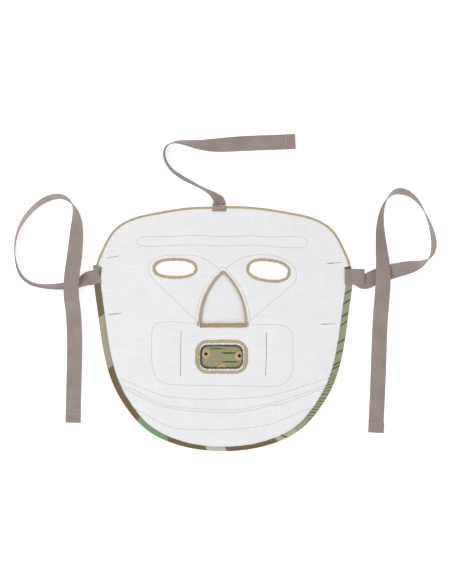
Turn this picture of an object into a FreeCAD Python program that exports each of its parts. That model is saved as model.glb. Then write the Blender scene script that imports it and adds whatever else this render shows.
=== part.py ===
"""Cold-weather face mask: a flat panel of camouflage cloth over a thick white lining.

The mask lies flat, outer cloth down, lining up, as it is laid out to be inspected.
Millimetres.  +X to the right, +Y towards the forehead, +Z up from the table.
The origin is the middle of the panel's outline, on the table.

Layers, from the table up: nose cover and mouth flap, patches, outer shell, lining,
then the sewn edgings, the threads and the tape tabs.
"""
import FreeCAD, Part
import math
import os

V = FreeCAD.Vector

# ---------------------------------------------------------------- the panel
MASK_WIDTH = 268.6
MASK_HEIGHT = 254.8
# Right half of the outline, brow to chin, in halves of the width and of the height.
OUTLINE = [(0.0, 1.0), (0.283, 0.989), (0.499, 0.954), (0.70, 0.904), (0.849, 0.807),
           (0.934, 0.659), (0.987, 0.518), (1.0, 0.377), (0.983, 0.219), (0.945, -0.075),
           (0.848, -0.467), (0.739, -0.662), (0.596, -0.824), (0.372, -0.942), (0.0, -1.0)]
OUTLINE_SAMPLES = 72

# ---------------------------------------------------------------- cloth thicknesses
SHELL = 0.6            # outer camouflage cloth, also the patches and the binding
LINING = 1.8           # brushed lining
COVER_LINING = 0.8     # thinner lining of the nose cover
BAND = 0.4             # interlining band over the chin seam
TAPE = 1.0             # woven tape of the straps and keepers
SATIN = 0.5            # height of a satin-stitched edging
OVERCAST = 0.5         # height of the overcast top edge
THREAD = 0.3           # how far a row of stitches stands up
THREAD_WIDTH = 0.5

Z_PATCH = SHELL + COVER_LINING      # patches lie on the covers
Z_SHELL = Z_PATCH + SHELL
Z_LINING = Z_SHELL + SHELL
Z_TOP = Z_LINING + LINING
GAP = 0.2                           # cut pieces lying side by side

# ---------------------------------------------------------------- edges of the panel
BINDING_WIDTH = 7.0
BINDING_STITCH = 1.4                # its row of stitches, in from its inner edge
OVERCAST_WIDTH = 2.6
EDGE_SPLIT_Y = 66.0                 # overcast above, binding below

# ---------------------------------------------------------------- eye holes
EYE_EXPONENT = 2.4                  # 2 is an ellipse, more is boxier
EDGING_WIDTH = 3.1
EYES = {
    # centre x, centre y, half length, half height (of the sewn hole), tilt in degrees
    "left": (-50.2, 62.8, 20.4, 7.9, 0.0),
    "right": (47.0, 60.6, 20.2, 9.3, -7.0),
}
EYE_SAMPLES = 40

# Outer edge of each eye patch: first the point by the nose, then round the eye to the bridge.
EYE_PATCHES = {
    "left": [(-27.8, 8.6), (-72.6, 51.8), (-77.9, 63.5), (-68.5, 75.2), (-46.6, 78.4),
             (-24.5, 74.3), (-3.0, 61.9)],
    "right": [(27.4, 8.0), (74.6, 47.6), (76.7, 59.0), (69.0, 69.6), (42.0, 78.2),
              (21.0, 71.2), (2.0, 61.5)],
}

# ---------------------------------------------------------------- nose opening and cover
NOSE_X = -0.4
NOSE_BOTTOM_Y = 4.9                 # lower edge of the opening
NOSE_HALF_WIDTH = 23.1
NOSE_HEIGHT = 53.4
COVER_SEAM = 5.4                    # from the opening's edge out to the cover's seam
COVER_MARGIN = 7.6                  # from the opening's edge out to the cover's edge
COVER_BOTTOM_Y = 0.3
TACK_LENGTH = 3.4
TACK_WIDTH = 1.4

# ---------------------------------------------------------------- mouth
MOUTH_X = -1.7
MOUTH_Y = -29.1
MOUTH_WIDTH = 45.3
MOUTH_HEIGHT = 25.5
MOUTH_CORNER = 8.0
MOUTH_RIM = 1.6                     # bare lining between the cut edge and the edging
MOUTH_EDGING_WIDTH = 3.3
SHELL_LIP = 1.0                     # the shell's raw edge shows inside the lining's
MOUTH_PATCH_WIDTH = 147.2
MOUTH_PATCH_HEIGHT = 64.0
MOUTH_PATCH_X = -1.4
MOUTH_PATCH_Y = -27.6
MOUTH_PATCH_CORNER = 13.0
PATCH_MARGIN = 2.0                  # cloth outside a patch's row of stitches
FLAP_SEAM_LEFT = -44.2
FLAP_SEAM_RIGHT = 44.4
FLAP_TOP_Y = -2.2
FLAP_BOTTOM_Y = -49.6
FLAP_MARGIN = 4.0                   # cloth outside each of its two seams
FLAP_PLY = Z_PATCH / 2
SEAM_TACK = 7.0                     # thicker end of each flap seam
EYELETS = [(-17.9, -26.2), (17.0, -28.1), (-1.1, -41.7)]
EYELET_HOLE = 1.6                   # radii
EYELET_RIM = 4.6
EYELET_DEPTH = 0.3

# ---------------------------------------------------------------- forehead channel
CHANNEL_LENGTH = 178.0
CHANNEL_WIDTH = 9.6
CHANNEL_X = -0.6
CHANNEL_Y = 91.3
STAY_WIDTH = 6.4
STAY_THICKNESS = 0.9
STAY_END_CLEARANCE = 2.0

# ---------------------------------------------------------------- chin
# Right half of each sagging row, from the middle out: x in halves of the mask's width,
# then the height above the lowest point of the chin.
CHIN_BAND_TOP = [(0.0, 54.4), (0.335, 55.9), (0.544, 60.6), (0.789, 74.8)]
CHIN_SEAM = [(0.0, 44.0), (0.208, 45.0), (0.469, 51.5), (0.774, 66.8)]
CHIN_BAND_BOTTOM = [(0.0, 22.4), (0.216, 24.2), (0.439, 31.0), (0.689, 44.8)]
SEAM_ROWS_APART = 3.7
CHIN_LAP = 9.0                      # the chin shell lies under the face shell this far
LAP_STEP = 1.5                      # where it steps down from one level to the other

# ---------------------------------------------------------------- strap keepers
KEEPER_WIDTH = 14.6
KEEPER_END = 4.0                    # folded end beyond each bar of stitches
KEEPERS = {
    # upper bar, then lower bar: in from the mask's widest point, and y
    "left": ((19.6, 74.7), (21.4, 15.4)),
    "right": ((19.2, 68.4), (25.3, 5.0)),
}
BAR_WIDTH = 0.9

# ---------------------------------------------------------------- straps
STRAP_WIDTH = 15.9
STRAP_TABS = {
    # middle of the tab along the mask's edge, how much the sewing tucks the tape in
    "left": (53.6, 0.9),
    "right": (54.2, 0.0),
    "top": (-4.2, 1.7),
}
TAB_OVERHANG = 0.8                  # past the inner edge of the binding
TAB_TOP_LENGTH = 6.0
FOLD_OUT = 0.6                      # the fold line lies this far outside the rim
HEM_LENGTH = 11.0                   # the turned end, up to its row of stitches
HEM_STITCH = 0.8

# Routes of the loose straps.  Each point: x and y from the fold at the mask's rim, height of
# the lower edge over the table, and the tape's roll from flat in degrees (90 is on edge).
ROUTES = {
    "left": [
        (0.0, 0.0, 5.0, 0), (-6.7, 0.0, 2.0, 22), (-15.9, -4.7, 0.6, 50),
        (-30.8, -9.4, 0.4, 63), (-48.3, -10.0, 0.3, 74), (-64.9, -7.4, 0.3, 82),
        (-76.0, 1.8, 0.3, 87), (-80.7, 15.9, 0.3, 94), (-81.9, 31.5, 0.3, 100),
        (-79.3, 47.1, 0.3, 104), (-71.0, 62.7, 0.3, 112), (-58.9, 75.3, 0.3, 115),
        (-45.7, 83.1, 0.3, 117), (-32.3, 84.6, 0.3, 110), (-21.5, 77.0, 0.3, 90),
        (-17.0, 63.7, 0.6, 52), (-17.5, 45.0, 2.5, 22), (-19.1, 22.1, 9.0, 4),
        (-21.7, 2.4, 15.4, 0), (-22.7, -17.4, 14.4, 0), (-20.5, -38.2, 4.6, 0),
        (-19.7, -70.4, 0.3, 0), (-20.7, -111.1, 0.6, 0), (-21.8, -151.6, 0.3, 0)],
    "right": [
        (0.0, 0.0, 5.0, 0), (6.7, 0.0, 4.8, 0), (14.5, -1.6, 2.2, 2), (26.1, 0.6, 0.6, 5),
        (40.7, 5.6, 0.3, 12), (57.1, 9.4, 0.3, 28), (70.9, 12.8, 0.3, 64),
        (80.9, 19.8, 0.3, 93), (84.5, 32.0, 0.3, 104), (82.1, 46.6, 0.3, 97),
        (76.9, 61.6, 0.3, 87), (70.0, 75.2, 0.3, 76), (60.1, 85.8, 0.3, 65),
        (47.4, 90.0, 0.3, 60), (36.7, 84.0, 0.3, 90), (29.9, 71.0, 0.3, 106),
        (27.8, 52.8, 0.3, 125), (29.1, 33.0, 1.2, 140), (30.9, 12.4, 6.0, 160),
        (31.3, -8.6, 5.0, 178), (29.8, -29.6, 0.8, 180), (28.1, -55.4, 0.3, 180),
        (27.1, -88.8, 0.6, 180), (25.7, -126.2, 0.3, 180), (23.9, -162.6, 0.3, 180)],
    "top": [
        (0.0, 0.0, 4.4, 0), (0.0, 4.2, 2.2, 16), (-2.8, 10.2, 0.9, 40), (-9.2, 15.0, 0.5, 66),
        (-17.8, 18.8, 0.3, 81), (-27.4, 23.4, 0.3, 77), (-38.8, 29.2, 0.3, 74),
        (-48.7, 36.0, 0.3, 78), (-55.6, 45.1, 0.3, 82), (-57.8, 55.6, 0.3, 86),
        (-54.2, 63.2, 0.3, 91), (-45.4, 66.4, 0.3, 102), (-34.4, 65.2, 0.3, 114),
        (-20.0, 62.8, 0.3, 134), (-1.2, 63.0, 0.3, 162), (26.6, 65.2, 0.3, 179),
        (53.0, 66.0, 0.5, 180), (79.4, 67.2, 0.3, 180)],
}
ROLL_STEP = 12.0                    # most a section turns from the one before, degrees


# ---------------------------------------------------------------- plane curves
def mirrored(half):
    """The left half, then the right half, of a curve given from its middle out."""
    return [(-x, y) for x, y in reversed(half[1:])] + half


def spline(points, closed=False):
    curve = Part.BSplineCurve()
    curve.interpolate([V(x, y, 0) for x, y in points], PeriodicFlag=closed)
    return curve


def beside(curve, distance, count, closed=False):
    """A spline at a distance to the left of another one."""
    points = []
    for i in range(count if closed else count + 1):
        t = curve.FirstParameter + (curve.LastParameter - curve.FirstParameter) * i / count
        along = curve.tangent(t)[0]
        at = curve.value(t)
        points.append((at.x - along.y * distance, at.y + along.x * distance))
    return spline(points, closed)


def line(a, b):
    return Part.LineSegment(V(a[0], a[1], 0), V(b[0], b[1], 0)).toShape()


def prism(edges, low, high):
    """The solid over a closed run of edges, between two heights."""
    face = Part.Face(Part.Wire(edges))
    face.translate(V(0, 0, low))
    return face.extrude(V(0, 0, high - low))


def outline(inset, low, high):
    """The panel, with its edge moved in."""
    right = [(x * MASK_WIDTH / 2, y * MASK_HEIGHT / 2) for x, y in OUTLINE]
    points = right + [(-x, y) for x, y in reversed(right[1:-1])]
    curve = spline(points, closed=True)
    if inset:
        curve = beside(curve, -inset, OUTLINE_SAMPLES, closed=True)
    return prism([curve.toShape()], low, high)


def rim_x(y):
    """Half width of the panel at a height on the face."""
    right = [(x * MASK_WIDTH / 2, y_ * MASK_HEIGHT / 2) for x, y_ in OUTLINE]
    curve = spline(mirrored(right[:-1])).toShape()
    level = line((0, y), (MASK_WIDTH, y))
    return curve.distToShape(level)[1][0][0].x


def rim_y(x):
    """Height of the panel's brow edge at a place across it."""
    right = [(x_ * MASK_WIDTH / 2, y * MASK_HEIGHT / 2) for x_, y in OUTLINE]
    curve = spline(mirrored(right[:5])).toShape()
    upright = line((x, 0), (x, MASK_HEIGHT))
    return curve.distToShape(upright)[1][0][0].y


def chin_points(half):
    """The whole of a sagging row, left to right."""
    chin = -MASK_HEIGHT / 2
    return mirrored([(x * MASK_WIDTH / 2, chin + y) for x, y in half])


def half_plane(y, above):
    """A slab that covers everything above, or below, a line across the face."""
    size = 2 * max(MASK_WIDTH, MASK_HEIGHT)
    corner = V(-size, y if above else y - 2 * size, -size)
    return Part.makeBox(2 * size, 2 * size, 2 * size, corner)


def eye(side, grow, low, high):
    """An eye hole's outline, a flat rounded oval, made larger all round."""
    x, y, length, height, tilt = EYES[side]
    c, s = math.cos(math.radians(tilt)), math.sin(math.radians(tilt))
    points = []
    for i in range(EYE_SAMPLES):
        a = 2 * math.pi * i / EYE_SAMPLES
        u = math.copysign(abs(math.cos(a)) ** (2 / EYE_EXPONENT), math.cos(a)) * (length + grow)
        v = math.copysign(abs(math.sin(a)) ** (2 / EYE_EXPONENT), math.sin(a)) * (height + grow)
        points.append((x + u * c - v * s, y + u * s + v * c))
    return prism([spline(points, closed=True).toShape()], low, high)


def arch(grow, low, high, bottom=None):
    """The nose opening's outline: two arcs, upright at the foot, that meet in a point."""
    radius = (NOSE_HALF_WIDTH ** 2 + NOSE_HEIGHT ** 2) / (2 * NOSE_HALF_WIDTH) + grow
    half = NOSE_HALF_WIDTH + grow
    offset = radius - half
    top = math.sqrt(radius ** 2 - offset ** 2)
    middle = math.atan2(top, offset) / 2
    bulge = (radius * math.cos(middle) - offset, radius * math.sin(middle))
    foot = NOSE_BOTTOM_Y - grow if bottom is None else bottom

    def at(x, y):
        return V(NOSE_X + x, NOSE_BOTTOM_Y + y, 0)

    right = Part.Arc(at(half, 0), at(*bulge), at(0, top)).toShape()
    left = Part.Arc(at(0, top), at(-bulge[0], bulge[1]), at(-half, 0)).toShape()
    edges = [right, left]
    if abs(foot - NOSE_BOTTOM_Y) > 1e-6:
        low_left, low_right = (NOSE_X - half, foot), (NOSE_X + half, foot)
        edges.append(line((NOSE_X - half, NOSE_BOTTOM_Y), low_left))
        edges.append(line(low_left, low_right))
        edges.append(line(low_right, (NOSE_X + half, NOSE_BOTTOM_Y)))
    else:
        edges.append(line((NOSE_X - half, foot), (NOSE_X + half, foot)))
    return prism(edges, low, high)


def arch_top(grow):
    """How high up the face the arch's point is."""
    radius = (NOSE_HALF_WIDTH ** 2 + NOSE_HEIGHT ** 2) / (2 * NOSE_HALF_WIDTH) + grow
    return NOSE_BOTTOM_Y + math.sqrt(radius ** 2 - (radius - NOSE_HALF_WIDTH - grow) ** 2)


def rounded(x, y, width, height, corner, low, high):
    """A rectangle with round corners, about its middle."""
    box = Part.makeBox(width, height, high - low, V(x - width / 2, y - height / 2, low))
    upright = [e for e in box.Edges if abs(e.Vertexes[0].Z - e.Vertexes[-1].Z) > 1e-6]
    return box.makeFillet(min(corner, width / 2 - 1e-3, height / 2 - 1e-3), upright)


def mouth(grow, low, high):
    return rounded(MOUTH_X, MOUTH_Y, MOUTH_WIDTH + 2 * grow, MOUTH_HEIGHT + 2 * grow,
                   MOUTH_CORNER + grow, low, high)


def thread(points, width=THREAD_WIDTH, low=Z_TOP, height=THREAD):
    """A raised row of stitches along a curve through a few points."""
    if len(points) == 2:
        (x0, y0), (x1, y1) = points
        long = math.hypot(x1 - x0, y1 - y0)
        row = Part.makeBox(long, width, height, V(0, -width / 2, low))
        row.rotate(V(), V(0, 0, 1), math.degrees(math.atan2(y1 - y0, x1 - x0)))
        row.translate(V(x0, y0, 0))
        return row
    curve = spline(points)
    a = beside(curve, width / 2, 30)
    b = beside(curve, -width / 2, 30)
    ends = [line(a.value(a.FirstParameter), b.value(b.FirstParameter)),
            line(a.value(a.LastParameter), b.value(b.LastParameter))]
    return prism(Part.__sortEdges__([a.toShape(), b.toShape()] + ends), low, low + height)


def group(shapes):
    """Separate solids that share one node."""
    solids = [s for shape in shapes for s in shape.Solids]
    return solids[0] if len(solids) == 1 else Part.makeCompound(solids)


def fused(shapes):
    whole = shapes[0].multiFuse(shapes[1:]).removeSplitter()
    return group([whole])


def sewn_edge(region, hole, slab):
    """Thread wrapped over a cut edge: a ring over and under the cloth, and round its edge."""
    return group([region.cut(hole).cut(slab)])


# ---------------------------------------------------------------- the panel's layers
def openings(low, high, mouth_grow=0.0):
    """The four holes cut through a layer, to the cloth's own edge under the edging."""
    holes = [eye(side, SATIN, low, high) for side in EYES]
    return holes + [arch(SATIN, low, high), mouth(mouth_grow, low, high)]


def below_row(half, low, high, shift=0.0):
    """All that lies below one of the sagging chin rows."""
    size = MASK_WIDTH
    points = chin_points(half)
    start, end = points[0], points[-1]
    row = spline(points).toShape()
    edges = [row, line(end, (size, end[1])), line((size, end[1]), (size, -size)),
             line((size, -size), (-size, -size)), line((-size, -size), (-size, start[1])),
             line((-size, start[1]), start)]
    solid = prism(edges, low, high)
    solid.translate(V(0, shift, 0))
    return solid


def chin_band(clearance=0.0):
    low, high = Z_LINING, Z_LINING + BAND + clearance
    band = below_row(CHIN_BAND_TOP, low, high, PATCH_MARGIN + clearance)
    band = band.cut(below_row(CHIN_BAND_BOTTOM, low, high, -PATCH_MARGIN - clearance))
    return group([band.common(outline(BINDING_WIDTH - clearance, low, high))])


def stay(clearance=0.0):
    length = CHANNEL_LENGTH - 2 * STAY_END_CLEARANCE - CHANNEL_WIDTH + STAY_WIDTH
    width = STAY_WIDTH + 2 * clearance
    return rounded(CHANNEL_X, CHANNEL_Y, length + 2 * clearance, width, width / 2,
                   Z_LINING, Z_LINING + STAY_THICKNESS + clearance)


def lining():
    panel = outline(SHELL, Z_LINING, Z_TOP)
    return group([panel.cut(openings(Z_LINING, Z_TOP) + [chin_band(), stay(GAP)])])


def face_shell():
    panel = outline(SHELL, Z_SHELL, Z_LINING)
    return group([panel.cut(openings(Z_SHELL, Z_LINING, -SHELL_LIP)
                            + [below_row(CHIN_SEAM, Z_SHELL, Z_LINING)])])


def chin_lap(clearance=0.0):
    lap = below_row(CHIN_SEAM, Z_PATCH, Z_SHELL, CHIN_LAP + clearance)
    return lap.cut(below_row(CHIN_SEAM, Z_PATCH, Z_SHELL, -LAP_STEP - clearance))


def chin_shell():
    """The lower panel, with a lap that runs up under the face shell."""
    panel = outline(SHELL, Z_SHELL, Z_LINING).common(below_row(CHIN_SEAM, Z_SHELL, Z_LINING))
    return fused([panel, chin_lap().common(outline(BINDING_WIDTH + GAP, Z_PATCH, Z_SHELL))])


def edge_binding():
    low, high = Z_SHELL - SHELL, Z_TOP + SHELL
    strip = outline(0, low, high).cut(outline(BINDING_WIDTH, low, high))
    strip = strip.cut(outline(SHELL, Z_SHELL, Z_TOP))
    return group([strip.common(half_plane(EDGE_SPLIT_Y, above=False))])


def top_edge_overcast():
    low, high = Z_SHELL - OVERCAST, Z_TOP + OVERCAST
    strip = outline(0, low, high).cut(outline(OVERCAST_WIDTH, low, high))
    strip = strip.cut(outline(SHELL, Z_SHELL, Z_TOP))
    return group([strip.common(half_plane(EDGE_SPLIT_Y, above=True))])


def eye_edging(side):
    low, high = Z_PATCH - SATIN, Z_TOP + SATIN
    return sewn_edge(eye(side, EDGING_WIDTH, low, high), eye(side, 0, low, high),
                     eye(side, EDGING_WIDTH + GAP, Z_PATCH, Z_TOP).cut(
                         eye(side, SATIN, Z_PATCH, Z_TOP)))


def nose_edging():
    low, high = Z_SHELL - SATIN, Z_TOP + SATIN
    return sewn_edge(arch(EDGING_WIDTH, low, high), arch(0, low, high),
                     arch(EDGING_WIDTH + GAP, Z_SHELL, Z_TOP).cut(
                         arch(SATIN, Z_SHELL, Z_TOP)))


def mouth_edging():
    ring = mouth(MOUTH_RIM + MOUTH_EDGING_WIDTH, Z_TOP, Z_TOP + SATIN)
    return group([ring.cut(mouth(MOUTH_RIM, Z_TOP, Z_TOP + SATIN))])


def eye_patch(side):
    """A patch round the eye that narrows to the side of the nose."""
    points = EYE_PATCHES[side]
    edges = [line(points[0], points[1]), spline(points[1:]).toShape(),
             line(points[-1], points[0])]
    patch = prism(edges, Z_PATCH, Z_SHELL)
    return group([patch.cut([arch(EDGING_WIDTH + GAP, Z_PATCH, Z_SHELL),
                             eye(side, SATIN, Z_PATCH, Z_SHELL)])])


def mouth_patch():
    patch = rounded(MOUTH_PATCH_X, MOUTH_PATCH_Y, MOUTH_PATCH_WIDTH + 2 * PATCH_MARGIN,
                    MOUTH_PATCH_HEIGHT, MOUTH_PATCH_CORNER, Z_PATCH, Z_SHELL)
    return group([patch.cut([arch(EDGING_WIDTH + GAP, Z_PATCH, Z_SHELL), chin_lap(GAP),
                             mouth(-SHELL_LIP, Z_PATCH, Z_SHELL)])])


# ---------------------------------------------------------------- nose cover, mouth flap
def nose_cover(low, high):
    return group([arch(COVER_MARGIN, low, high, bottom=COVER_BOTTOM_Y)])


def eyelet(x, y):
    wall = Part.makeCylinder(EYELET_HOLE + SATIN, 2 * FLAP_PLY, V(x, y, 0))
    under = Part.makeCylinder(EYELET_RIM, EYELET_DEPTH, V(x, y, 0))
    over = Part.makeCylinder(EYELET_RIM, EYELET_DEPTH, V(x, y, 2 * FLAP_PLY - EYELET_DEPTH))
    bore = Part.makeCylinder(EYELET_HOLE, 2 * FLAP_PLY, V(x, y, 0))
    return fused([wall, under, over]).cut(bore)


def mouth_flap_ply(low):
    left, right = FLAP_SEAM_LEFT - FLAP_MARGIN, FLAP_SEAM_RIGHT + FLAP_MARGIN
    ply = Part.makeBox(right - left, FLAP_TOP_Y - FLAP_BOTTOM_Y, FLAP_PLY,
                       V(left, FLAP_BOTTOM_Y, low))
    return group([ply.cut([eyelet(x, y) for x, y in EYELETS])
                  .cut([Part.makeCylinder(EYELET_HOLE, FLAP_PLY, V(x, y, low))
                        for x, y in EYELETS])])


# ---------------------------------------------------------------- keepers
def keeper_bar_places(side):
    """The middles of a keeper's upper and lower bars of stitches."""
    sign = -1 if side == "left" else 1
    return [(sign * (MASK_WIDTH / 2 - inward), y) for inward, y in KEEPERS[side]]


def placed_on_keeper(side, shape):
    """Turn a shape drawn with the keeper's lower bar at the origin, and put it in place."""
    (x1, y1), (x0, y0) = keeper_bar_places(side)
    shape.rotate(V(), V(0, 0, 1), math.degrees(math.atan2(y1 - y0, x1 - x0)) - 90)
    shape.translate(V(x0, y0, 0))
    return shape


def keeper_span(side):
    (x1, y1), (x0, y0) = keeper_bar_places(side)
    return math.hypot(x1 - x0, y1 - y0)


def keeper(side):
    """A flat loop of tape on the outer cloth that a goggle strap passes under."""
    tape = Part.makeBox(KEEPER_WIDTH, keeper_span(side) + 2 * KEEPER_END, TAPE,
                        V(-KEEPER_WIDTH / 2, -KEEPER_END, 0))
    return placed_on_keeper(side, tape)


def keeper_end_folds():
    """The keepers' turned ends, between the tape and the shell, under the bars of stitches."""
    folds = []
    for side in KEEPERS:
        for y in (0, keeper_span(side)):
            fold = Part.makeBox(KEEPER_WIDTH, 2 * KEEPER_END, Z_SHELL - TAPE,
                                V(-KEEPER_WIDTH / 2, y - KEEPER_END, TAPE))
            folds.append(placed_on_keeper(side, fold))
    return group(folds)


def keeper_bars():
    bars = []
    for side in KEEPERS:
        (x1, y1), (x0, y0) = keeper_bar_places(side)
        long = keeper_span(side)
        ux, uy = (y1 - y0) / long, -(x1 - x0) / long
        half = KEEPER_WIDTH / 2
        for x, y in ((x1, y1), (x0, y0)):
            ends = [(x - ux * half, y - uy * half), (x + ux * half, y + uy * half)]
            bars.append(thread(ends, BAR_WIDTH))
    return group(bars)


# ---------------------------------------------------------------- rows of stitches
def ring_of_thread(make):
    """A closed row of stitches: a shape's outline, and the same one a thread narrower."""
    return group([make(THREAD_WIDTH / 2).cut(make(-THREAD_WIDTH / 2))])


def channel_stitching():
    def slot(grow):
        width = CHANNEL_WIDTH + 2 * grow
        return rounded(CHANNEL_X, CHANNEL_Y, CHANNEL_LENGTH + 2 * grow, width, width / 2,
                       Z_TOP, Z_TOP + THREAD)
    return ring_of_thread(slot)


def binding_stitching():
    low = Z_TOP + SHELL
    row = outline(BINDING_WIDTH - BINDING_STITCH, low, low + THREAD)
    row = row.cut(outline(BINDING_WIDTH - BINDING_STITCH + THREAD_WIDTH, low, low + THREAD))
    row = row.common(half_plane(EDGE_SPLIT_Y, above=False))
    return group([row.cut([strap_tab(side) for side in STRAP_TABS])])


def eye_patch_stitching():
    rows = []
    for points in EYE_PATCHES.values():
        row = fused([thread(points[:2]), thread(points[1:])])
        rows.append(row.cut(arch(EDGING_WIDTH, Z_TOP, Z_TOP + THREAD)))
    return group(rows)


def nose_cover_stitching():
    """The cover's seam, up one side of the nose and down the other."""
    ring = arch(COVER_SEAM, Z_TOP, Z_TOP + THREAD, bottom=NOSE_BOTTOM_Y)
    ring = ring.cut(arch(COVER_SEAM - THREAD_WIDTH, Z_TOP, Z_TOP + THREAD, bottom=-MASK_HEIGHT))
    return group([ring.cut(eye_patch_stitching())])


def nose_corner_tacks():
    tacks = []
    for side in (-1, 1):
        x = NOSE_X + side * (NOSE_HALF_WIDTH + EDGING_WIDTH + TACK_WIDTH / 2)
        tacks.append(thread([(x, NOSE_BOTTOM_Y - TACK_LENGTH), (x, NOSE_BOTTOM_Y)], TACK_WIDTH))
    return group(tacks)


def mouth_patch_stitching():
    def edge(grow):
        return rounded(MOUTH_PATCH_X, MOUTH_PATCH_Y, MOUTH_PATCH_WIDTH + 2 * grow,
                       MOUTH_PATCH_HEIGHT - 2 * PATCH_MARGIN + 2 * grow,
                       MOUTH_PATCH_CORNER + grow, Z_TOP, Z_TOP + THREAD)
    ring = ring_of_thread(edge)
    return group([ring.cut([arch(COVER_SEAM, Z_TOP, Z_TOP + THREAD), nose_corner_tacks()])])


def mouth_flap_seams():
    rows = []
    for x in (FLAP_SEAM_LEFT, FLAP_SEAM_RIGHT):
        ends = [(x, FLAP_BOTTOM_Y), (x, FLAP_TOP_Y)]
        tacks = [[(x, FLAP_BOTTOM_Y), (x, FLAP_BOTTOM_Y + SEAM_TACK)],
                 [(x, FLAP_TOP_Y - SEAM_TACK), (x, FLAP_TOP_Y)]]
        rows.append(fused([thread(ends)] + [thread(t, BAR_WIDTH) for t in tacks]))
    return group(rows)


def chin_row(half, shift=0.0):
    row = thread([(x, y + shift) for x, y in chin_points(half)])
    return row.common(outline(BINDING_WIDTH, Z_TOP, Z_TOP + THREAD))


def chin_seam_stitching():
    return group([chin_row(CHIN_SEAM), chin_row(CHIN_SEAM, -SEAM_ROWS_APART)])


def chin_band_stitching():
    return group([chin_row(CHIN_BAND_TOP), chin_row(CHIN_BAND_BOTTOM)])


# ---------------------------------------------------------------- straps
def fold(side):
    """Where a strap leaves the mask: the middle of its fold line, on the tab's top surface."""
    middle = STRAP_TABS[side][0]
    if side == "top":
        return V(middle, rim_y(middle) + FOLD_OUT, Z_TOP + OVERCAST + TAPE)
    x = rim_x(middle) + FOLD_OUT
    return V(x if side == "right" else -x, middle, Z_TOP + SHELL + TAPE)


def tab_width(side):
    return STRAP_WIDTH - STRAP_TABS[side][1]


def strap_tab(side):
    """The sewn end of a strap, flat on the binding, out to the fold line."""
    width = tab_width(side)
    at = fold(side)
    if side == "top":
        length = TAB_TOP_LENGTH + FOLD_OUT
        return Part.makeBox(width, length, TAPE, V(at.x - width / 2, at.y - length, at.z - TAPE))
    length = BINDING_WIDTH + TAB_OVERHANG + FOLD_OUT
    x = at.x if side == "left" else at.x - length
    return Part.makeBox(length, width, TAPE, V(x, at.y - width / 2, at.z - TAPE))


def route_points(side):
    """The strap's middle line: each point lifted by half of what the rolled tape needs."""
    start = fold(side)
    points = []
    for x, y, low, roll in ROUTES[side]:
        lean = math.radians(roll)
        rise = STRAP_WIDTH / 2 * abs(math.sin(lean)) + TAPE / 2 * abs(math.cos(lean))
        points.append(V(start.x + x, start.y + y, low + rise))
    points[0].z = start.z - TAPE / 2
    points[1].z = points[0].z
    return points


def bent_path(side):
    """Straight runs joined by tangent arcs: a list of (place, direction, roll) stations."""
    points = route_points(side)
    rolls = [r[3] for r in ROUTES[side]]
    stations, radii = [], []
    heads = [(b - a).normalize() for a, b in zip(points, points[1:])]
    runs = [(b - a).Length for a, b in zip(points, points[1:])]
    stations.append((points[0], heads[0], rolls[0]))
    for i in range(1, len(points) - 1):
        turn = heads[i - 1].getAngle(heads[i])
        reach = 0.45 * min(runs[i - 1], runs[i])
        radius = reach / math.tan(turn / 2)
        radii.append(radius)
        start = points[i] - heads[i - 1] * reach
        axis = heads[i - 1].cross(heads[i]).normalize()
        inward = axis.cross(heads[i - 1]).normalize()
        centre = start + inward * radius
        steps = max(2, math.ceil(math.degrees(turn) / 10))
        for k in range(steps + 1):
            bend = FreeCAD.Rotation(axis, math.degrees(turn) * k / steps)
            place = centre + bend.multVec(start - centre)
            stations.append((place, bend.multVec(heads[i - 1]), None))
    stations.append((points[-1], heads[-1], rolls[-1]))
    return spread_roll(stations, points, rolls), radii


def spread_roll(stations, points, rolls):
    """Give each station its roll, in proportion to the length between the route's points."""
    travelled = [0.0]
    for (a, _, _), (b, _, _) in zip(stations, stations[1:]):
        travelled.append(travelled[-1] + (b - a).Length)
    marks = []
    for p in points:
        nearest = min(range(len(stations)), key=lambda k: (stations[k][0] - p).Length)
        marks.append(travelled[nearest])
    marks[0], marks[-1] = 0.0, travelled[-1]
    result = []
    for (place, head, _), s in zip(stations, travelled):
        i = max(0, min(len(marks) - 2, sum(1 for m in marks if m <= s) - 1))
        share = (s - marks[i]) / max(marks[i + 1] - marks[i], 1e-9)
        result.append((place, head, rolls[i] + (rolls[i + 1] - rolls[i]) * share))
    return result


def finer(stations):
    """More sections where the tape rolls quickly along a straight run."""
    result = [stations[0]]
    for a, b in zip(stations, stations[1:]):
        steps = max(1, math.ceil(abs(b[2] - a[2]) / ROLL_STEP))
        for k in range(1, steps + 1):
            t = k / steps
            place = a[0] + (b[0] - a[0]) * t
            head = (a[1] * (1 - t) + b[1] * t).normalize()
            result.append((place, head, a[2] + (b[2] - a[2]) * t))
    return result


def section(place, head, roll):
    """The tape's rectangle across its line."""
    level = V(0, 0, 1).cross(head).normalize()
    upright = head.cross(level).normalize()
    lean = math.radians(roll)
    across = level * math.cos(lean) + upright * math.sin(lean)
    through = head.cross(across).normalize()
    half, thin = across * (STRAP_WIDTH / 2), through * (TAPE / 2)
    corners = [place - half - thin, place + half - thin, place + half + thin, place - half + thin]
    return Part.makePolygon(corners + corners[:1])


def strap(side):
    """The loose strap: a ruled solid through the tape's rectangles."""
    stations, radii = bent_path(side)
    stations = finer(stations)
    wires = [section(*s) for s in stations]
    solid = Part.makeLoft(wires, True, True)
    length = sum((b[0] - a[0]).Length for a, b in zip(stations, stations[1:]))
    expected = length * STRAP_WIDTH * TAPE
    print("strap_%s: length %.1f, least radius %.1f, volume %.0f of %.0f, low %.2f, sections %d"
          % (side, length, min(radii), solid.Volume, expected, solid.BoundBox.ZMin, len(wires)))
    print("   radii", " ".join("%.0f" % r for r in radii))
    return solid


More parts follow.
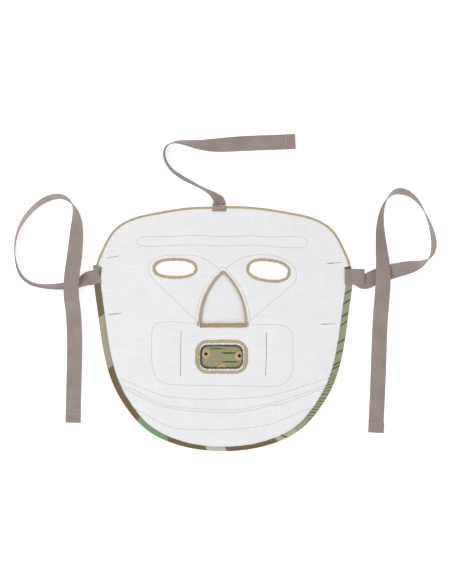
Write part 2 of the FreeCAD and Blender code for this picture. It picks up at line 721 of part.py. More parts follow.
def hem_stitching(side):
    """The row of stitches across a strap's turned end, on its upper face."""
    points = route_points(side)
    roll = ROUTES[side][-1][3]
    end, before = points[-1], points[-2]
    head = (end - before).normalize()
    place = end - head * HEM_LENGTH
    row = Part.makeBox(HEM_STITCH, STRAP_WIDTH - 2 * HEM_STITCH, THREAD,
                       V(-HEM_STITCH / 2, -STRAP_WIDTH / 2 + HEM_STITCH, TAPE / 2))
    level = V(0, 0, 1).cross(head).normalize()
    turn = FreeCAD.Rotation(head, level, head.cross(level), "ZXY")
    row.Placement = FreeCAD.Placement(place, turn)
    return row


def tab_stitching():
    """The rows that hold the three tabs down."""
    rows = []
    for side in STRAP_TABS:
        at = fold(side)
        half = tab_width(side) / 2 - HEM_STITCH
        if side == "top":
            y = at.y - FOLD_OUT - OVERCAST_WIDTH / 2
            ends = [(at.x - half, y), (at.x + half, y)]
        else:
            inward = FOLD_OUT + BINDING_WIDTH / 2
            x = at.x + (inward if side == "left" else -inward)
            ends = [(x, at.y - half), (x, at.y + half)]
        rows.append(thread(ends, low=at.z))
    return group(rows)


NODES = {
    "lining": lining(),
    "face_shell": face_shell(),
    "chin_shell": chin_shell(),
    "chin_band": chin_band(),
    "edge_binding": edge_binding(),
    "top_edge_overcast": top_edge_overcast(),
    "forehead_stay": stay(),
    "nose_edging": nose_edging(),
    "mouth_edging": mouth_edging(),
    "mouth_patch": mouth_patch(),
    "nose_cover_shell": nose_cover(0, SHELL),
    "nose_cover_lining": nose_cover(SHELL, Z_PATCH),
    "mouth_flap_outer_ply": mouth_flap_ply(0),
    "mouth_flap_inner_ply": mouth_flap_ply(FLAP_PLY),
    "mouth_flap_eyelets": group([eyelet(x, y) for x, y in EYELETS]),
    "keeper_end_folds": keeper_end_folds(),
    "keeper_bar_tacks": keeper_bars(),
    "forehead_channel_stitching": channel_stitching(),
    "eye_patch_stitching": eye_patch_stitching(),
    "nose_cover_stitching": nose_cover_stitching(),
    "nose_corner_tacks": nose_corner_tacks(),
    "mouth_patch_stitching": mouth_patch_stitching(),
    "mouth_flap_seams": mouth_flap_seams(),
    "chin_seam_stitching": chin_seam_stitching(),
    "chin_band_stitching": chin_band_stitching(),
    "strap_tab_stitching": tab_stitching(),
    "binding_stitching": binding_stitching(),
}
for side in EYES:
    NODES["eye_edging_" + side] = eye_edging(side)
    NODES["eye_patch_" + side] = eye_patch(side)
    NODES["goggle_keeper_" + side] = keeper(side)
for side in ROUTES:
    NODES["strap_tab_" + side] = strap_tab(side)
    NODES["strap_" + side] = strap(side)
    NODES["strap_hem_stitching_" + side] = hem_stitching(side)

os.makedirs("parts", exist_ok=True)
for name, shape in NODES.items():
    if not shape.isValid():
        print("not valid:", name)
    shape.exportStep("parts/%s.step" % name)
    box = shape.BoundBox
    print("%-28s %2d solid  x %7.1f %7.1f  y %7.1f %7.1f  z %5.2f %5.2f"
          % (name, len(shape.Solids), box.XMin, box.XMax, box.YMin, box.YMax, box.ZMin, box.ZMax))
print(len(NODES), "nodes")
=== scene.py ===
# %% [markdown]
# # A cold-weather face mask, laid out with its lining up
# The mask is a flat panel of camouflage cloth over a thick white lining, with sewn
# openings for the eyes, the nose and the mouth, and three loose tapes that tie it on.
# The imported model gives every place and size. Here each of its plain solids gets the
# piece that the eye expects: woven tape, quilted lining, corded edges, rows of stitches.

# %% The frame
import math
import random

import bmesh
import bpy
import numpy as np
from mathutils import Matrix, Vector, kdtree, noise


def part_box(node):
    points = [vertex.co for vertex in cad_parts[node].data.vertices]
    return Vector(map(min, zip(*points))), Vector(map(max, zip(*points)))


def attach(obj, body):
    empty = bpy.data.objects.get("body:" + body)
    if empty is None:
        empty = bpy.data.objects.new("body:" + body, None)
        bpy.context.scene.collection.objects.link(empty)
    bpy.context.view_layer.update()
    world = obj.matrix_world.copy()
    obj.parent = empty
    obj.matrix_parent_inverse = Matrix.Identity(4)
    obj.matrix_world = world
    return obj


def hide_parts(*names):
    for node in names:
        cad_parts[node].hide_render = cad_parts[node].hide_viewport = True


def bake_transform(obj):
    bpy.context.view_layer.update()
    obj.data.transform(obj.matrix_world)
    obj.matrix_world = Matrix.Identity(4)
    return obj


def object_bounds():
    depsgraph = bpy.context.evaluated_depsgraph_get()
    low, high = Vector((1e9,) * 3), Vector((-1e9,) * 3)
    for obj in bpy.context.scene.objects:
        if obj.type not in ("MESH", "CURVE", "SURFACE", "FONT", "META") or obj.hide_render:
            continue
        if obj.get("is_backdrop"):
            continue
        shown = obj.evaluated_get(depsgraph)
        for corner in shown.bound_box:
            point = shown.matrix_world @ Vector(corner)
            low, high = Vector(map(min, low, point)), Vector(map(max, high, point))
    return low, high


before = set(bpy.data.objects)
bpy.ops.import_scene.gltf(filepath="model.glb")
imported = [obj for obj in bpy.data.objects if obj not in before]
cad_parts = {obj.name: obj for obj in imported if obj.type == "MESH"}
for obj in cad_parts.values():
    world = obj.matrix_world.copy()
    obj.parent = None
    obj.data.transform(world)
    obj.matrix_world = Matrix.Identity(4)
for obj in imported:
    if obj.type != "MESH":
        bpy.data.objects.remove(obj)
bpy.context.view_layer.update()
scene = bpy.context.scene
random.seed(7)

# %% [markdown]
# ## Millimetres
# Sewing is measured in millimetres and Blender works in metres. One small function
# turns the first into the second, so that the numbers below read as a tailor's would.
# The levels of the layers come from the model's own boxes.

# %% Millimetres and levels
MM = 0.001


def mm(x, y, z=0.0):
    return Vector((x * MM, y * MM, z * MM))


def level(node, top=True):
    """The height of a model part's upper or lower face, in millimetres."""
    low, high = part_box(node)
    return (high if top else low)[2] / MM


LINING_TOP = level("lining")
LINING_UNDER = level("lining", top=False)
SHELL_UNDER = level("face_shell", top=False)
PATCH_UNDER = level("mouth_patch", top=False)
COVER_UNDER = level("nose_cover_shell", top=False)
FLAP_TOP = level("mouth_flap_inner_ply")
NOSE_X = sum(corner[0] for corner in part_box("nose_edging")) / 2 / MM
print("lining from", round(LINING_UNDER, 2), "to", round(LINING_TOP, 2), "mm over the table")

# %% [markdown]
# ## Looking straight down
# The camera hangs over the middle of the table with a long lens, so that the panel
# keeps its true outline and the standing tapes lean very little.

# %% The camera
LENS = 100.0
SENSOR = 36.0
VIEW_LONG_SIDE = 607.4
VIEW_CENTRE = (2.9, 38.3)

lens = bpy.data.cameras.new("overhead_camera")
lens.lens, lens.sensor_width = LENS, SENSOR
camera = bpy.data.objects.new("overhead_camera", lens)
camera.location = mm(*VIEW_CENTRE, VIEW_LONG_SIDE * LENS / SENSOR + LINING_TOP)
scene.collection.objects.link(camera)
scene.camera = camera
print("camera", round(camera.location.z, 2), "m up")

# %% [markdown]
# ## A bright table
# The table is plain white. It glows a little, as a lit table does, which keeps the
# shadows under the cloth faint. A large soft lamp on the upper left shapes the folds,
# and a weaker one on the right and the white surroundings fill them.

# %% Table and lamps
scene.view_settings.view_transform = "Standard"
# The table reaches this many metres each way. Its height, in millimetres, is a little
# below the model's foot, so that no cloth sinks into it.
TABLE_HALF = 9.0
TABLE_TOP = -0.3
MASK_MIDDLE = Vector((0, 0.03, 0))

table_mesh = bmesh.new()
bmesh.ops.create_grid(table_mesh, x_segments=2, y_segments=2, size=TABLE_HALF)
bmesh.ops.translate(table_mesh, verts=table_mesh.verts, vec=mm(0, 0, TABLE_TOP))
table_data = bpy.data.meshes.new("table")
table_mesh.to_mesh(table_data)
table_mesh.free()
table = bpy.data.objects.new("table", table_data)
scene.collection.objects.link(table)
table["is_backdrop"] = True


def lamp(name, place, size, watts):
    """A square soft lamp that looks at the middle of the mask."""
    data = bpy.data.lights.new(name, "AREA")
    data.size, data.energy = size, watts
    body = bpy.data.objects.new(name, data)
    body.location = place
    body.rotation_euler = (MASK_MIDDLE - Vector(place)).to_track_quat("-Z", "Y").to_euler()
    scene.collection.objects.link(body)


lamp("key_lamp", (-1.2, -0.2, 1.8), 1.2, 23.0)
lamp("fill_lamp", (1.5, -0.4, 1.5), 1.4, 6.0)

world = bpy.data.worlds.new("white_room")
scene.world = world
world.use_nodes = True
world.node_tree.nodes["Background"].inputs["Color"].default_value = (1, 1, 1, 1)
world.node_tree.nodes["Background"].inputs["Strength"].default_value = 0.66

# %% [markdown]
# ## Writing a finish as a sum
# A material is a web of nodes, and most of them do arithmetic. A small class wraps a
# socket and overloads the operators, so that a weave is written as one expression and
# its Math nodes appear by themselves. Every other node comes from one method.


# %% Wires and paints
class Wire:
    """A value in a material's nodes; arithmetic on it adds Math nodes."""

    def __init__(self, paint, socket):
        self.paint, self.socket = paint, socket

    def math(self, operation, *inputs):
        return self.paint.node("ShaderNodeMath", {"operation": operation}, dict(enumerate(inputs)))

    def __add__(self, other):
        return self.math("ADD", self, other)

    def __sub__(self, other):
        return self.math("SUBTRACT", self, other)

    def __rsub__(self, other):
        return self.math("SUBTRACT", other, self)

    def __mul__(self, other):
        return self.math("MULTIPLY", self, other)

    def __truediv__(self, other):
        return self.math("DIVIDE", self, other)

    def __abs__(self):
        return self.math("ABSOLUTE", self)

    __radd__, __rmul__ = __add__, __mul__

    def sine(self):
        return self.math("SINE", self)

    def fraction(self):
        return self.math("FRACT", self)

    def above(self, low, high):
        """0 below low, 1 above high, a smooth step between."""
        return self.paint.node("ShaderNodeMapRange", {"interpolation_type": "SMOOTHSTEP"},
                               {"Value": self, "From Min": low, "From Max": high})


class Paint:
    """A material with one Principled shader, built from wires."""

    def __init__(self, name, **constants):
        self.material = bpy.data.materials.new(name)
        self.material.use_nodes = True
        self.tree = self.material.node_tree
        self.shader = self.tree.nodes["Principled BSDF"]
        for socket, value in constants.items():
            self.shader.inputs[socket.replace("_", " ")].default_value = value

    def node(self, kind, settings=None, inputs=None, output=0):
        node = self.tree.nodes.new(kind)
        for key, value in (settings or {}).items():
            if key == "stops":
                ramp = node.color_ramp
                ramp.interpolation = "CONSTANT"
                for place, colour in value[1:]:
                    ramp.elements.new(place).color = colour
                ramp.elements[0].position, ramp.elements[0].color = value[0]
                ramp.elements.remove(ramp.elements[-1])
            else:
                setattr(node, key, value)
        for key, value in (inputs or {}).items():
            self.feed(node.inputs[key], value)
        return Wire(self, node.outputs[output])

    def feed(self, socket, value):
        if isinstance(value, Wire):
            self.tree.links.new(value.socket, socket)
        else:
            socket.default_value = value

    def place(self):
        """The point's place on the object, in millimetres, as three wires."""
        here = self.node("ShaderNodeTexCoord", output="Object")
        return self.parts(self.scaled(here, (1000, 1000, 1000)))

    def laid(self):
        """The point's place on the flat cloth, across and along, in millimetres."""
        flat = self.node("ShaderNodeUVMap", {"uv_map": "laid"})
        return self.parts(self.scaled(flat, (1000, 1000, 1000)))[:2]

    def scaled(self, vector, factors):
        return self.node("ShaderNodeVectorMath", {"operation": "MULTIPLY"}, {0: vector, 1: factors})

    def parts(self, vector):
        split = self.node("ShaderNodeSeparateXYZ", inputs={0: vector}).socket.node
        return [Wire(self, split.outputs[i]) for i in range(3)]

    def joined(self, x, y, z=0.0):
        return self.node("ShaderNodeCombineXYZ", inputs={0: x, 1: y, 2: z})

    def cloud(self, vector, scale=1.0, detail=2.0):
        return self.node("ShaderNodeTexNoise", inputs={"Vector": vector, "Scale": scale, "Detail": detail})

    def mix(self, share, a, b):
        return self.node("ShaderNodeMix", {"data_type": "RGBA"}, {0: share, 6: a, 7: b}, output=2)

    def finish(self, colour, roughness=None, relief=None, depth=0.1, strength=0.6):
        """Join the wires to the shader; relief is 0 to 1 and depth its height in millimetres."""
        self.feed(self.shader.inputs["Base Color"], colour)
        if roughness is not None:
            self.feed(self.shader.inputs["Roughness"], roughness)
        if relief is not None:
            bump = self.node("ShaderNodeBump", inputs={"Strength": strength, "Distance": depth * MM,
                                                       "Height": relief})
            self.feed(self.shader.inputs["Normal"], bump)
        return self.material


def waves(wire, pitch):
    """Threads side by side: 0 to 1 and back once for each pitch, in millimetres."""
    return (wire * (2 * math.pi / pitch)).sine() * 0.5 + 0.5


def shade(red, green, blue):
    """A colour as seen on a screen, 0 to 255, as the linear light that shaders use."""
    def linear(value):
        value /= 255
        return value / 12.92 if value <= 0.04045 else ((value + 0.055) / 1.055) ** 2.4
    return (linear(red), linear(green), linear(blue), 1.0)


# %% [markdown]
# ## The finishes
# The table is the simplest: a white with a glow. The tape is a herringbone twill:
# slanted ribs that change direction every few millimetres across the width, so the
# ribs' phase is the place along the tape plus a zigzag of the place across it.

# %% Table white and tape
white_table = Paint("table_white", Roughness=0.9, Emission_Strength=0.5,
                    Emission_Color=(1, 1, 1, 1), Specular_IOR_Level=0.1)
table_data.materials.append(white_table.finish((0.9, 0.9, 0.9, 1)))

RIB = 2.3  # from one slanted rib to the next
HERRINGBONE = 8.0  # across the width, until the slant is the same again


def tape_paint(name, dark, light):
    """Herringbone twill, with uneven yarns, faded patches and specks."""
    paint = Paint(name, Sheen_Weight=0.25, Sheen_Roughness=0.5, Specular_IOR_Level=0.25)
    across, along = paint.laid()
    zigzag = abs((across / HERRINGBONE).fraction() - 0.5) * HERRINGBONE
    ribs = waves(along + zigzag * 1.1, RIB)
    warp = waves(across, 0.55)
    slub = paint.cloud(paint.joined(across * 1.4, along * 0.12))
    patch = paint.cloud(paint.joined(across * 0.05, along * 0.05), detail=3.0)
    speck = paint.cloud(paint.joined(across * 0.9, along * 0.9), detail=3.0)
    share = ribs * 0.42 + warp * 0.10 + slub * 0.26 + patch * 0.30 + speck * 0.40 - 0.24
    relief = ribs * 0.7 + warp * 0.2 + slub * 0.3
    return paint.finish(paint.mix(share, dark, light), 0.92 - ribs * 0.1, relief, 0.22, 0.8)


taupe_tape = tape_paint("taupe_tape", shade(86, 72, 70), shade(186, 170, 163))


# %% [markdown]
# ## Bending a flat grid
# Tape, satin stitch and binding are all strips, so one helper serves them all. It
# starts from a flat grid, sends each of its points to a place in space, and keeps
# the flat place as a UV map named "laid", which the weave follows round every bend.

# %% Helpers for pieces
def shown(name, bm, finish, creases=38):
    """Make an object of a bmesh, smooth except at edges sharper than creases, in degrees."""
    for face in bm.faces:
        face.smooth = True
    for edge in bm.edges:
        if len(edge.link_faces) != 2 or edge.calc_face_angle(0) > math.radians(creases):
            edge.smooth = False
    mesh = bpy.data.meshes.new(name)
    bm.to_mesh(mesh)
    bm.free()
    mesh.materials.append(finish)
    piece = bpy.data.objects.new(name, mesh)
    scene.collection.objects.link(piece)
    print(name, len(mesh.polygons), "faces")
    return piece


def on_panel(piece, *nodes):
    """Fix a piece to the panel, in place of these model parts."""
    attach(piece, "mask_panel")
    if nodes:
        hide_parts(*nodes)


def bent_grid(long, wide, place, closed=False):
    """A grid of long by wide cells; place(i, j) gives a grid point's spot and its flat spot."""
    bm = bmesh.new()
    bmesh.ops.create_grid(bm, x_segments=long, y_segments=wide, size=0.5)
    laid = bm.loops.layers.uv.new("laid")
    flat = {}
    for vert in bm.verts:
        spot, on_cloth = place(round((vert.co.x + 0.5) * long), round((vert.co.y + 0.5) * wide))
        vert.co = spot
        flat[vert] = (on_cloth[0] * MM, on_cloth[1] * MM)
    for face in bm.faces:
        for loop in face.loops:
            loop[laid].uv = flat[loop.vert]
    bmesh.ops.remove_doubles(bm, verts=bm.verts, dist=1e-6)
    if not closed:
        bmesh.ops.holes_fill(bm, edges=[e for e in bm.edges if e.is_boundary], sides=0)
    bmesh.ops.recalc_face_normals(bm, faces=bm.faces)
    return bm


# %% [markdown]
# ## The three tie tapes
# Each tie is a limp tape that leaves the mask flat, rolls onto its edge, runs round a
# loop standing on the table, lies down again and ends in a sewn hem. Its route is a
# smooth spline through the same points as the model's solid, and a second spline with
# the same knots carries the roll, so both are read at matching places.

# %% Routes of the ties
# Each point: x, y, the height of the tape's lower edge, and its roll from flat, in degrees.
LEFT_TIE = [
    (-134.9, 53.6, 5.0, 0), (-139.6, 52.66, 5.0, 12),
    (-146.0, 49.4, 2.0, 46), (-153.6, 46.2, 0.6, 56),
    (-165.7, 44.2, 0.4, 63), (-183.2, 43.6, 0.3, 74), (-199.8, 46.2, 0.3, 82),
    (-210.9, 55.4, 0.3, 87), (-215.6, 69.5, 0.3, 94), (-216.8, 85.1, 0.3, 100),
    (-214.2, 100.7, 0.3, 104), (-205.9, 116.3, 0.3, 112), (-193.8, 128.9, 0.3, 115),
    (-180.6, 136.7, 0.3, 117), (-167.2, 138.2, 0.3, 110), (-156.4, 130.6, 0.3, 90),
    (-151.9, 117.3, 0.6, 52), (-152.4, 98.6, 2.5, 22), (-154.0, 75.7, 9.0, 4),
    (-156.6, 56.0, 15.4, 0), (-157.6, 36.2, 14.4, 0), (-155.4, 15.4, 4.6, 0),
    (-154.6, -16.8, 0.3, 0), (-155.6, -57.5, 0.6, 0), (-156.7, -98.0, 0.3, 0)]
RIGHT_TIE = [
    (134.9, 54.2, 5.0, 0), (141.4, 52.6, 4.8, 0), (147.0, 47.6, 1.6, 2),
    (159.0, 54.8, 0.6, 5), (175.6, 59.8, 0.3, 12), (192.0, 63.6, 0.3, 28),
    (205.8, 67.0, 0.3, 64), (215.8, 74.0, 0.3, 93), (219.4, 86.2, 0.3, 104),
    (217.0, 100.8, 0.3, 97), (211.8, 115.8, 0.3, 87), (204.9, 129.4, 0.3, 76),
    (195.0, 140.0, 0.3, 65), (182.3, 144.2, 0.3, 60), (171.6, 138.2, 0.3, 90),
    (164.8, 125.2, 0.3, 106), (162.7, 107.0, 0.3, 125), (164.0, 87.2, 1.2, 140),
    (165.8, 66.6, 6.0, 160), (166.2, 45.6, 5.0, 178), (164.7, 24.6, 0.8, 180),
    (163.0, -1.2, 0.3, 180), (162.0, -34.6, 0.6, 180), (160.6, -72.0, 0.3, 180),
    (158.8, -108.4, 0.3, 180)]
TOP_TIE = [
    (-4.2, 128.0, 4.4, 0), (-4.4, 131.8, 2.2, 17), (-6.8, 135.8, 0.9, 52),
    (-12.4, 141.0, 0.5, 70), (-20.6, 145.4, 0.3, 81), (-31.6, 151.2, 0.3, 77),
    (-43.0, 157.2, 0.3, 74), (-52.9, 164.0, 0.3, 78), (-59.8, 173.1, 0.3, 82),
    (-62.0, 183.6, 0.3, 86), (-58.4, 191.2, 0.3, 91), (-49.6, 194.4, 0.3, 102),
    (-38.6, 193.2, 0.3, 114), (-24.2, 190.8, 0.3, 134), (-5.4, 191.0, 0.3, 162),
    (22.4, 193.2, 0.3, 179), (48.8, 194.0, 0.5, 180), (75.2, 195.2, 0.3, 180)]
TIES = {"left": LEFT_TIE, "right": RIGHT_TIE, "top": TOP_TIE}
TAPE_WIDTH = 15.9
TAPE = 1.0  # its thickness
# The right tie leaves its tab under a fold of its own tape, so it starts lower.
UNDER_FOLD = {"right": 1.15}
# The tape's own outline across its run: a flat loop with soft selvedges.
TAPE_SECTION = [(-7.95, 0.0), (-7.8, -0.36), (-7.3, -0.5), (-4.0, -0.5), (0.0, -0.5), (4.0, -0.5),
                (7.3, -0.5), (7.8, -0.36), (7.95, 0.0), (7.8, 0.36), (7.3, 0.5), (4.0, 0.5),
                (0.0, 0.5), (-4.0, 0.5), (-7.3, 0.5), (-7.8, 0.36)]


def spline_points(name, points):
    """The points that a smooth spline with these control points runs through."""
    data = bpy.data.curves.new(name, "CURVE")
    data.dimensions, data.resolution_u = "3D", 10
    spline = data.splines.new("NURBS")
    spline.points.add(len(points) - 1)
    for control, point in zip(spline.points, points):
        control.co = (*point, 1.0)
    spline.order_u = 3
    spline.use_endpoint_u = True
    guide = bpy.data.objects.new(name, data)
    scene.collection.objects.link(guide)
    run = bpy.data.meshes.new_from_object(guide)
    places = [vert.co.copy() for vert in run.vertices]
    bpy.data.objects.remove(guide)
    return places


def tie_line(side):
    """A tie's middle line and the direction across it, point by point."""
    controls, rolls = [], []
    for i, (x, y, low, roll) in enumerate(TIES[side]):
        lean = math.radians(roll)
        rise = TAPE_WIDTH / 2 * abs(math.sin(lean)) + TAPE / 2 * abs(math.cos(lean))
        controls.append(mm(x, y, low + rise))
        rolls.append((i, lean, 0.0))
    root = level("strap_tab_" + side) - TAPE / 2 - UNDER_FOLD.get(side, 0.0)
    controls[0].z = controls[1].z = root * MM
    line = spline_points(side + "_tie_route", controls)
    leans = [point.y for point in spline_points(side + "_tie_roll", rolls)]
    across = []
    for i, lean in enumerate(leans):
        head = (line[min(i + 1, len(line) - 1)] - line[max(i - 1, 0)]).normalized()
        flat = Vector((0, 0, 1)).cross(head).normalized()
        across.append(flat * math.cos(lean) + head.cross(flat) * math.sin(lean))
    return line, across


def travelled(line):
    """How far along a line each of its points is, in millimetres."""
    steps = [0.0] + [(b - a).length / MM for a, b in zip(line, line[1:])]
    return list(np.cumsum(steps))


def ribbon(line, across, start=0.0, narrow=None):
    """The closed skin of a tape along a line."""
    gone = travelled(line)
    heads = [(line[min(i + 1, len(line) - 1)] - line[max(i - 1, 0)]).normalized()
             for i in range(len(line))]

    def place(i, j):
        side, through = TAPE_SECTION[j % len(TAPE_SECTION)]
        side *= narrow(gone[i]) if narrow else 1.0
        up = heads[i].cross(across[i])
        return line[i] + across[i] * side * MM + up * through * MM, (side, start + gone[i])
    return bent_grid(len(line) - 1, len(TAPE_SECTION), place)


tie_lines = {side: tie_line(side) for side in TIES}
for side, (line, _) in tie_lines.items():
    print(side, "tie", round(travelled(line)[-1], 1), "mm of tape, lowest",
          round(min(p.z for p in line) / MM, 2))

# %% [markdown]
# The left and the top tie are gathered a little where they are sewn, so their roots are
# narrower.

# %% The ties
ROOT_WIDTH = {"left": 15.0, "right": 15.9, "top": 14.2}
FULL_WIDTH_FROM = 18.0
FOLD_LENGTH = 5.0
# The way off the mask at each tie's root, square to the line that it folds on.
OUTWARD = {"left": (-1, 0, 0), "right": (1, 0, 0), "top": (0, 1, 0)}
for side, (line, across) in tie_lines.items():
    tuck = ROOT_WIDTH[side] / TAPE_WIDTH

    def narrow(gone, tuck=tuck):
        return tuck + (1 - tuck) * min(1.0, gone / FULL_WIDTH_FROM)
    tie = shown(side + "_tie", ribbon(line, across, narrow=narrow), taupe_tape)
    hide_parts("strap_" + side)
    away = Vector(OUTWARD[side]) * FOLD_LENGTH * MM
    side + "_strap"
    line[0] + away
    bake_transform(tie)

# %% [markdown]
# The right tie was pressed in a flat pleat beside its tab: a short upper layer runs on
# from the tab and turns under, and the tie comes out from beneath it.

# %% The pleat of the right tie
PLEAT = 11.5
PLEAT_WIDER = 1.02
# From the tab outward and then under: how far out, and how high over the tab's middle.
PLEAT_RUN = [(0, 0), (1.2, 0.06), (4.0, 0.12), (PLEAT - 2.2, 0.1), (PLEAT - 0.8, 0.0),
             (PLEAT - 0.2, -0.25), (PLEAT, -0.6), (PLEAT - 0.2, -0.95), (PLEAT - 0.8, -1.12),
             (PLEAT - 2.0, -1.15)]
root_x, root_y = RIGHT_TIE[0][:2]
pleat_top = level("strap_tab_right") - TAPE / 2
pleat_line = [mm(root_x + out, root_y, pleat_top + up) for out, up in PLEAT_RUN]
pleat = shown("right_tie_pleat", ribbon(pleat_line, [Vector((0, PLEAT_WIDER, 0))] * len(pleat_line)),
              taupe_tape)
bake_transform(pleat)

# %% [markdown]
# Each tie ends in a hem: the tape is turned over and sewn across. The turned part is
# a second, shorter ribbon on top of the first, a little out of line with it, as hand
# work is. A stitch is a grain of rice: a small sphere with few faces, drawn out long.

# %% Hems and their stitches
HEM = 11.0
HEM_CELLS = 8
HEM_LIFT = 0.85  # over the tie's middle line
HEM_WAVE = 0.08
HEM_WEAVE_START = 3.0  # its ribs don't line up with those of the tie below
HEM_STITCHES = 6
HEM_STITCH_PITCH = 2.35
HEM_SHIFT = {"left": 0.3, "right": -0.6, "top": 0.2}


def thread_paint(name, dark, light, relief=0.05):
    """Sewing thread: two plies that wind round each other, and a little fluff."""
    paint = Paint(name, Sheen_Weight=0.2, Specular_IOR_Level=0.3)
    x, y, z = paint.place()
    twist = waves(x + y * 0.8 + z, 0.45)
    tint = paint.cloud(paint.joined(x, y, z), scale=0.35)
    return paint.finish(paint.mix(twist * 0.35 + tint * 0.65, dark, light), 0.75 - tint * 0.15,
                        twist, relief)


spare_mesh = bpy.data.meshes.new("one_stitch")


def stitch(bm, middle, along, up, long, wide, tall):
    """Add one stitch, a drawn-out ball of 24 faces.

    It is made in a small bmesh of its own, because an operator on the full one would walk
    through all the stitches that are there already.
    """
    across = up.cross(along).normalized()
    turn = Matrix((along * long, across * wide, up * tall)).transposed().to_4x4()
    lying = turn @ Matrix.Rotation(math.pi / 2, 4, "Y")
    one = bmesh.new()
    bmesh.ops.create_uvsphere(one, u_segments=6, v_segments=4, radius=0.5 * MM,
                              matrix=Matrix.Translation(middle) @ lying)
    one.to_mesh(spare_mesh)
    one.free()
    bm.from_mesh(spare_mesh)


tan_thread = thread_paint("tan_thread", shade(158, 136, 98), shade(214, 194, 156))

for side, (line, across) in tie_lines.items():
    head = (line[-1] - line[-8]).normalized()
    aside = across[-1] * HEM_SHIFT[side] * MM
    hem_line = [line[-1] + aside + head * (k / HEM_CELLS - 1) * HEM * MM
                + mm(0, 0, HEM_LIFT + HEM_WAVE * math.sin(2 * k)) for k in range(HEM_CELLS + 1)]
    hem = shown(side + "_tie_hem", ribbon(hem_line, [across[-1]] * len(hem_line), start=HEM_WEAVE_START),
                taupe_tape)
    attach(hem, side + "_strap")
    bm = bmesh.new()
    for k in range(HEM_STITCHES):
        reach = (k - (HEM_STITCHES - 1) / 2) * HEM_STITCH_PITCH + random.uniform(-0.25, 0.25)
        spot = hem_line[0] + head * (0.7 + random.uniform(-0.2, 0.2)) * MM + across[-1] * reach * MM
        stitch(bm, spot + mm(0, 0, 0.44), (across[-1] + head * random.uniform(-0.18, 0.18)).normalized(),
               Vector((0, 0, 1)), random.uniform(1.7, 2.3), 0.8, 0.7)
    rows = shown(side + "_tie_hem_stitches", bm, tan_thread)
    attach(rows, side + "_strap")
    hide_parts("strap_hem_stitching_" + side)
    [hem, rows] + ([pleat] if side == "right" else [])

# %% [markdown]
# ## Lines on the cloth
# Edges and seams are lines on the flat cloth. A Bezier curve with automatic handles
# passes smoothly through a few places, and a line object then answers where it is
# and which way is outward at any distance along it. The edges of the openings are
# read from the model's own faces, so that the sewing sits exactly on them.


# %% Lines
def smooth_places(places, closed=False):
    """Close-set places on a smooth curve through a few, in millimetres."""
    data = bpy.data.curves.new("seam", "CURVE")
    data.dimensions, data.resolution_u = "3D", 12
    spline = data.splines.new("BEZIER")
    spline.bezier_points.add(len(places) - 1)
    for knot, (x, y) in zip(spline.bezier_points, places):
        knot.co = (x, y, 0)
        knot.handle_left_type = knot.handle_right_type = "AUTO"
    spline.use_cyclic_u = closed
    guide = bpy.data.objects.new("seam", data)
    scene.collection.objects.link(guide)
    run = bpy.data.meshes.new_from_object(guide)
    found = [(vert.co.x, vert.co.y) for vert in run.vertices]
    bpy.data.objects.remove(guide)
    return found


class Line:
    """A line on the flat cloth, in millimetres."""

    def __init__(self, places, closed=False):
        if closed:
            area = sum(a[0] * b[1] - b[0] * a[1] for a, b in zip(places, places[1:] + places[:1]))
            places = places if area > 0 else places[::-1]
            places = places + places[:1]
        self.closed = closed
        self.xy = np.array(places, float)
        steps = np.hypot(*np.diff(self.xy, axis=0).T)
        self.gone = np.concatenate([[0.0], np.cumsum(steps)])
        self.long = float(self.gone[-1])

    def spot(self, s):
        s = s % self.long if self.closed else min(max(s, 0.0), self.long)
        return (float(np.interp(s, self.gone, self.xy[:, 0])),
                float(np.interp(s, self.gone, self.xy[:, 1])))

    def at(self, s, reach=0.6):
        """The place at a distance along, and the way along it, as x, y, dx, dy."""
        a, b = self.spot(s - reach), self.spot(s + reach)
        far = math.hypot(b[0] - a[0], b[1] - a[1]) or 1.0
        x, y = self.spot(s)
        return x, y, (b[0] - a[0]) / far, (b[1] - a[1]) / far

    def places(self, step):
        return [self.spot(k * step) for k in range(int(self.long / step) + 1)]

    def nearest(self, x, y):
        """How far along the line a place beside it is."""
        return float(self.gone[np.argmin(np.hypot(self.xy[:, 0] - x, self.xy[:, 1] - y))])


def rims(node, height):
    """The closed edges of a model part's flat face at one height, longest first, as places."""
    bm = bmesh.new()
    bm.from_mesh(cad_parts[node].data)
    bmesh.ops.remove_doubles(bm, verts=bm.verts, dist=1e-6)
    flat = [f for f in bm.faces if all(abs(v.co.z / MM - height) < 0.02 for v in f.verts)]
    members = set(flat)  # for looking up only: a set has another order in each run
    after = {}
    for face in flat:
        for loop in face.loops:
            if sum(other in members for other in loop.edge.link_faces) == 1:
                after[loop.vert] = loop.link_loop_next.vert
    found = []
    while after:
        vert = min(after, key=lambda v: (v.co.x, v.co.y))  # each edge starts at its leftmost point
        places = []
        while vert in after:
            places.append((vert.co.x / MM, vert.co.y / MM))
            vert = after.pop(vert)
        found.append(places)
    bm.free()
    return sorted(found, key=lambda places: -Line(places, True).long)


def rounded_places(x, y, width, height, corner, steps=8):
    """A rectangle with round corners."""
    found = []
    for turn, (sx, sy) in enumerate(((1, 1), (-1, 1), (-1, -1), (1, -1))):
        cx, cy = x + sx * (width / 2 - corner), y + sy * (height / 2 - corner)
        for k in range(steps + 1):
            a = (turn + k / steps) * math.pi / 2
            found.append((cx + corner * math.cos(a), cy + corner * math.sin(a)))
    return found


lining_rims = rims("lining", LINING_TOP)
panel_edge = Line(smooth_places(lining_rims[0], True), closed=True)
print(len(lining_rims), "edges in the lining; round the panel", round(panel_edge.long, 1), "mm")

# %% [markdown]
# The openings: two eye holes, the pointed nose arch and the rounded mouth. The nose
# arch is two arcs of one radius that meet in a point, so it is drawn as such.

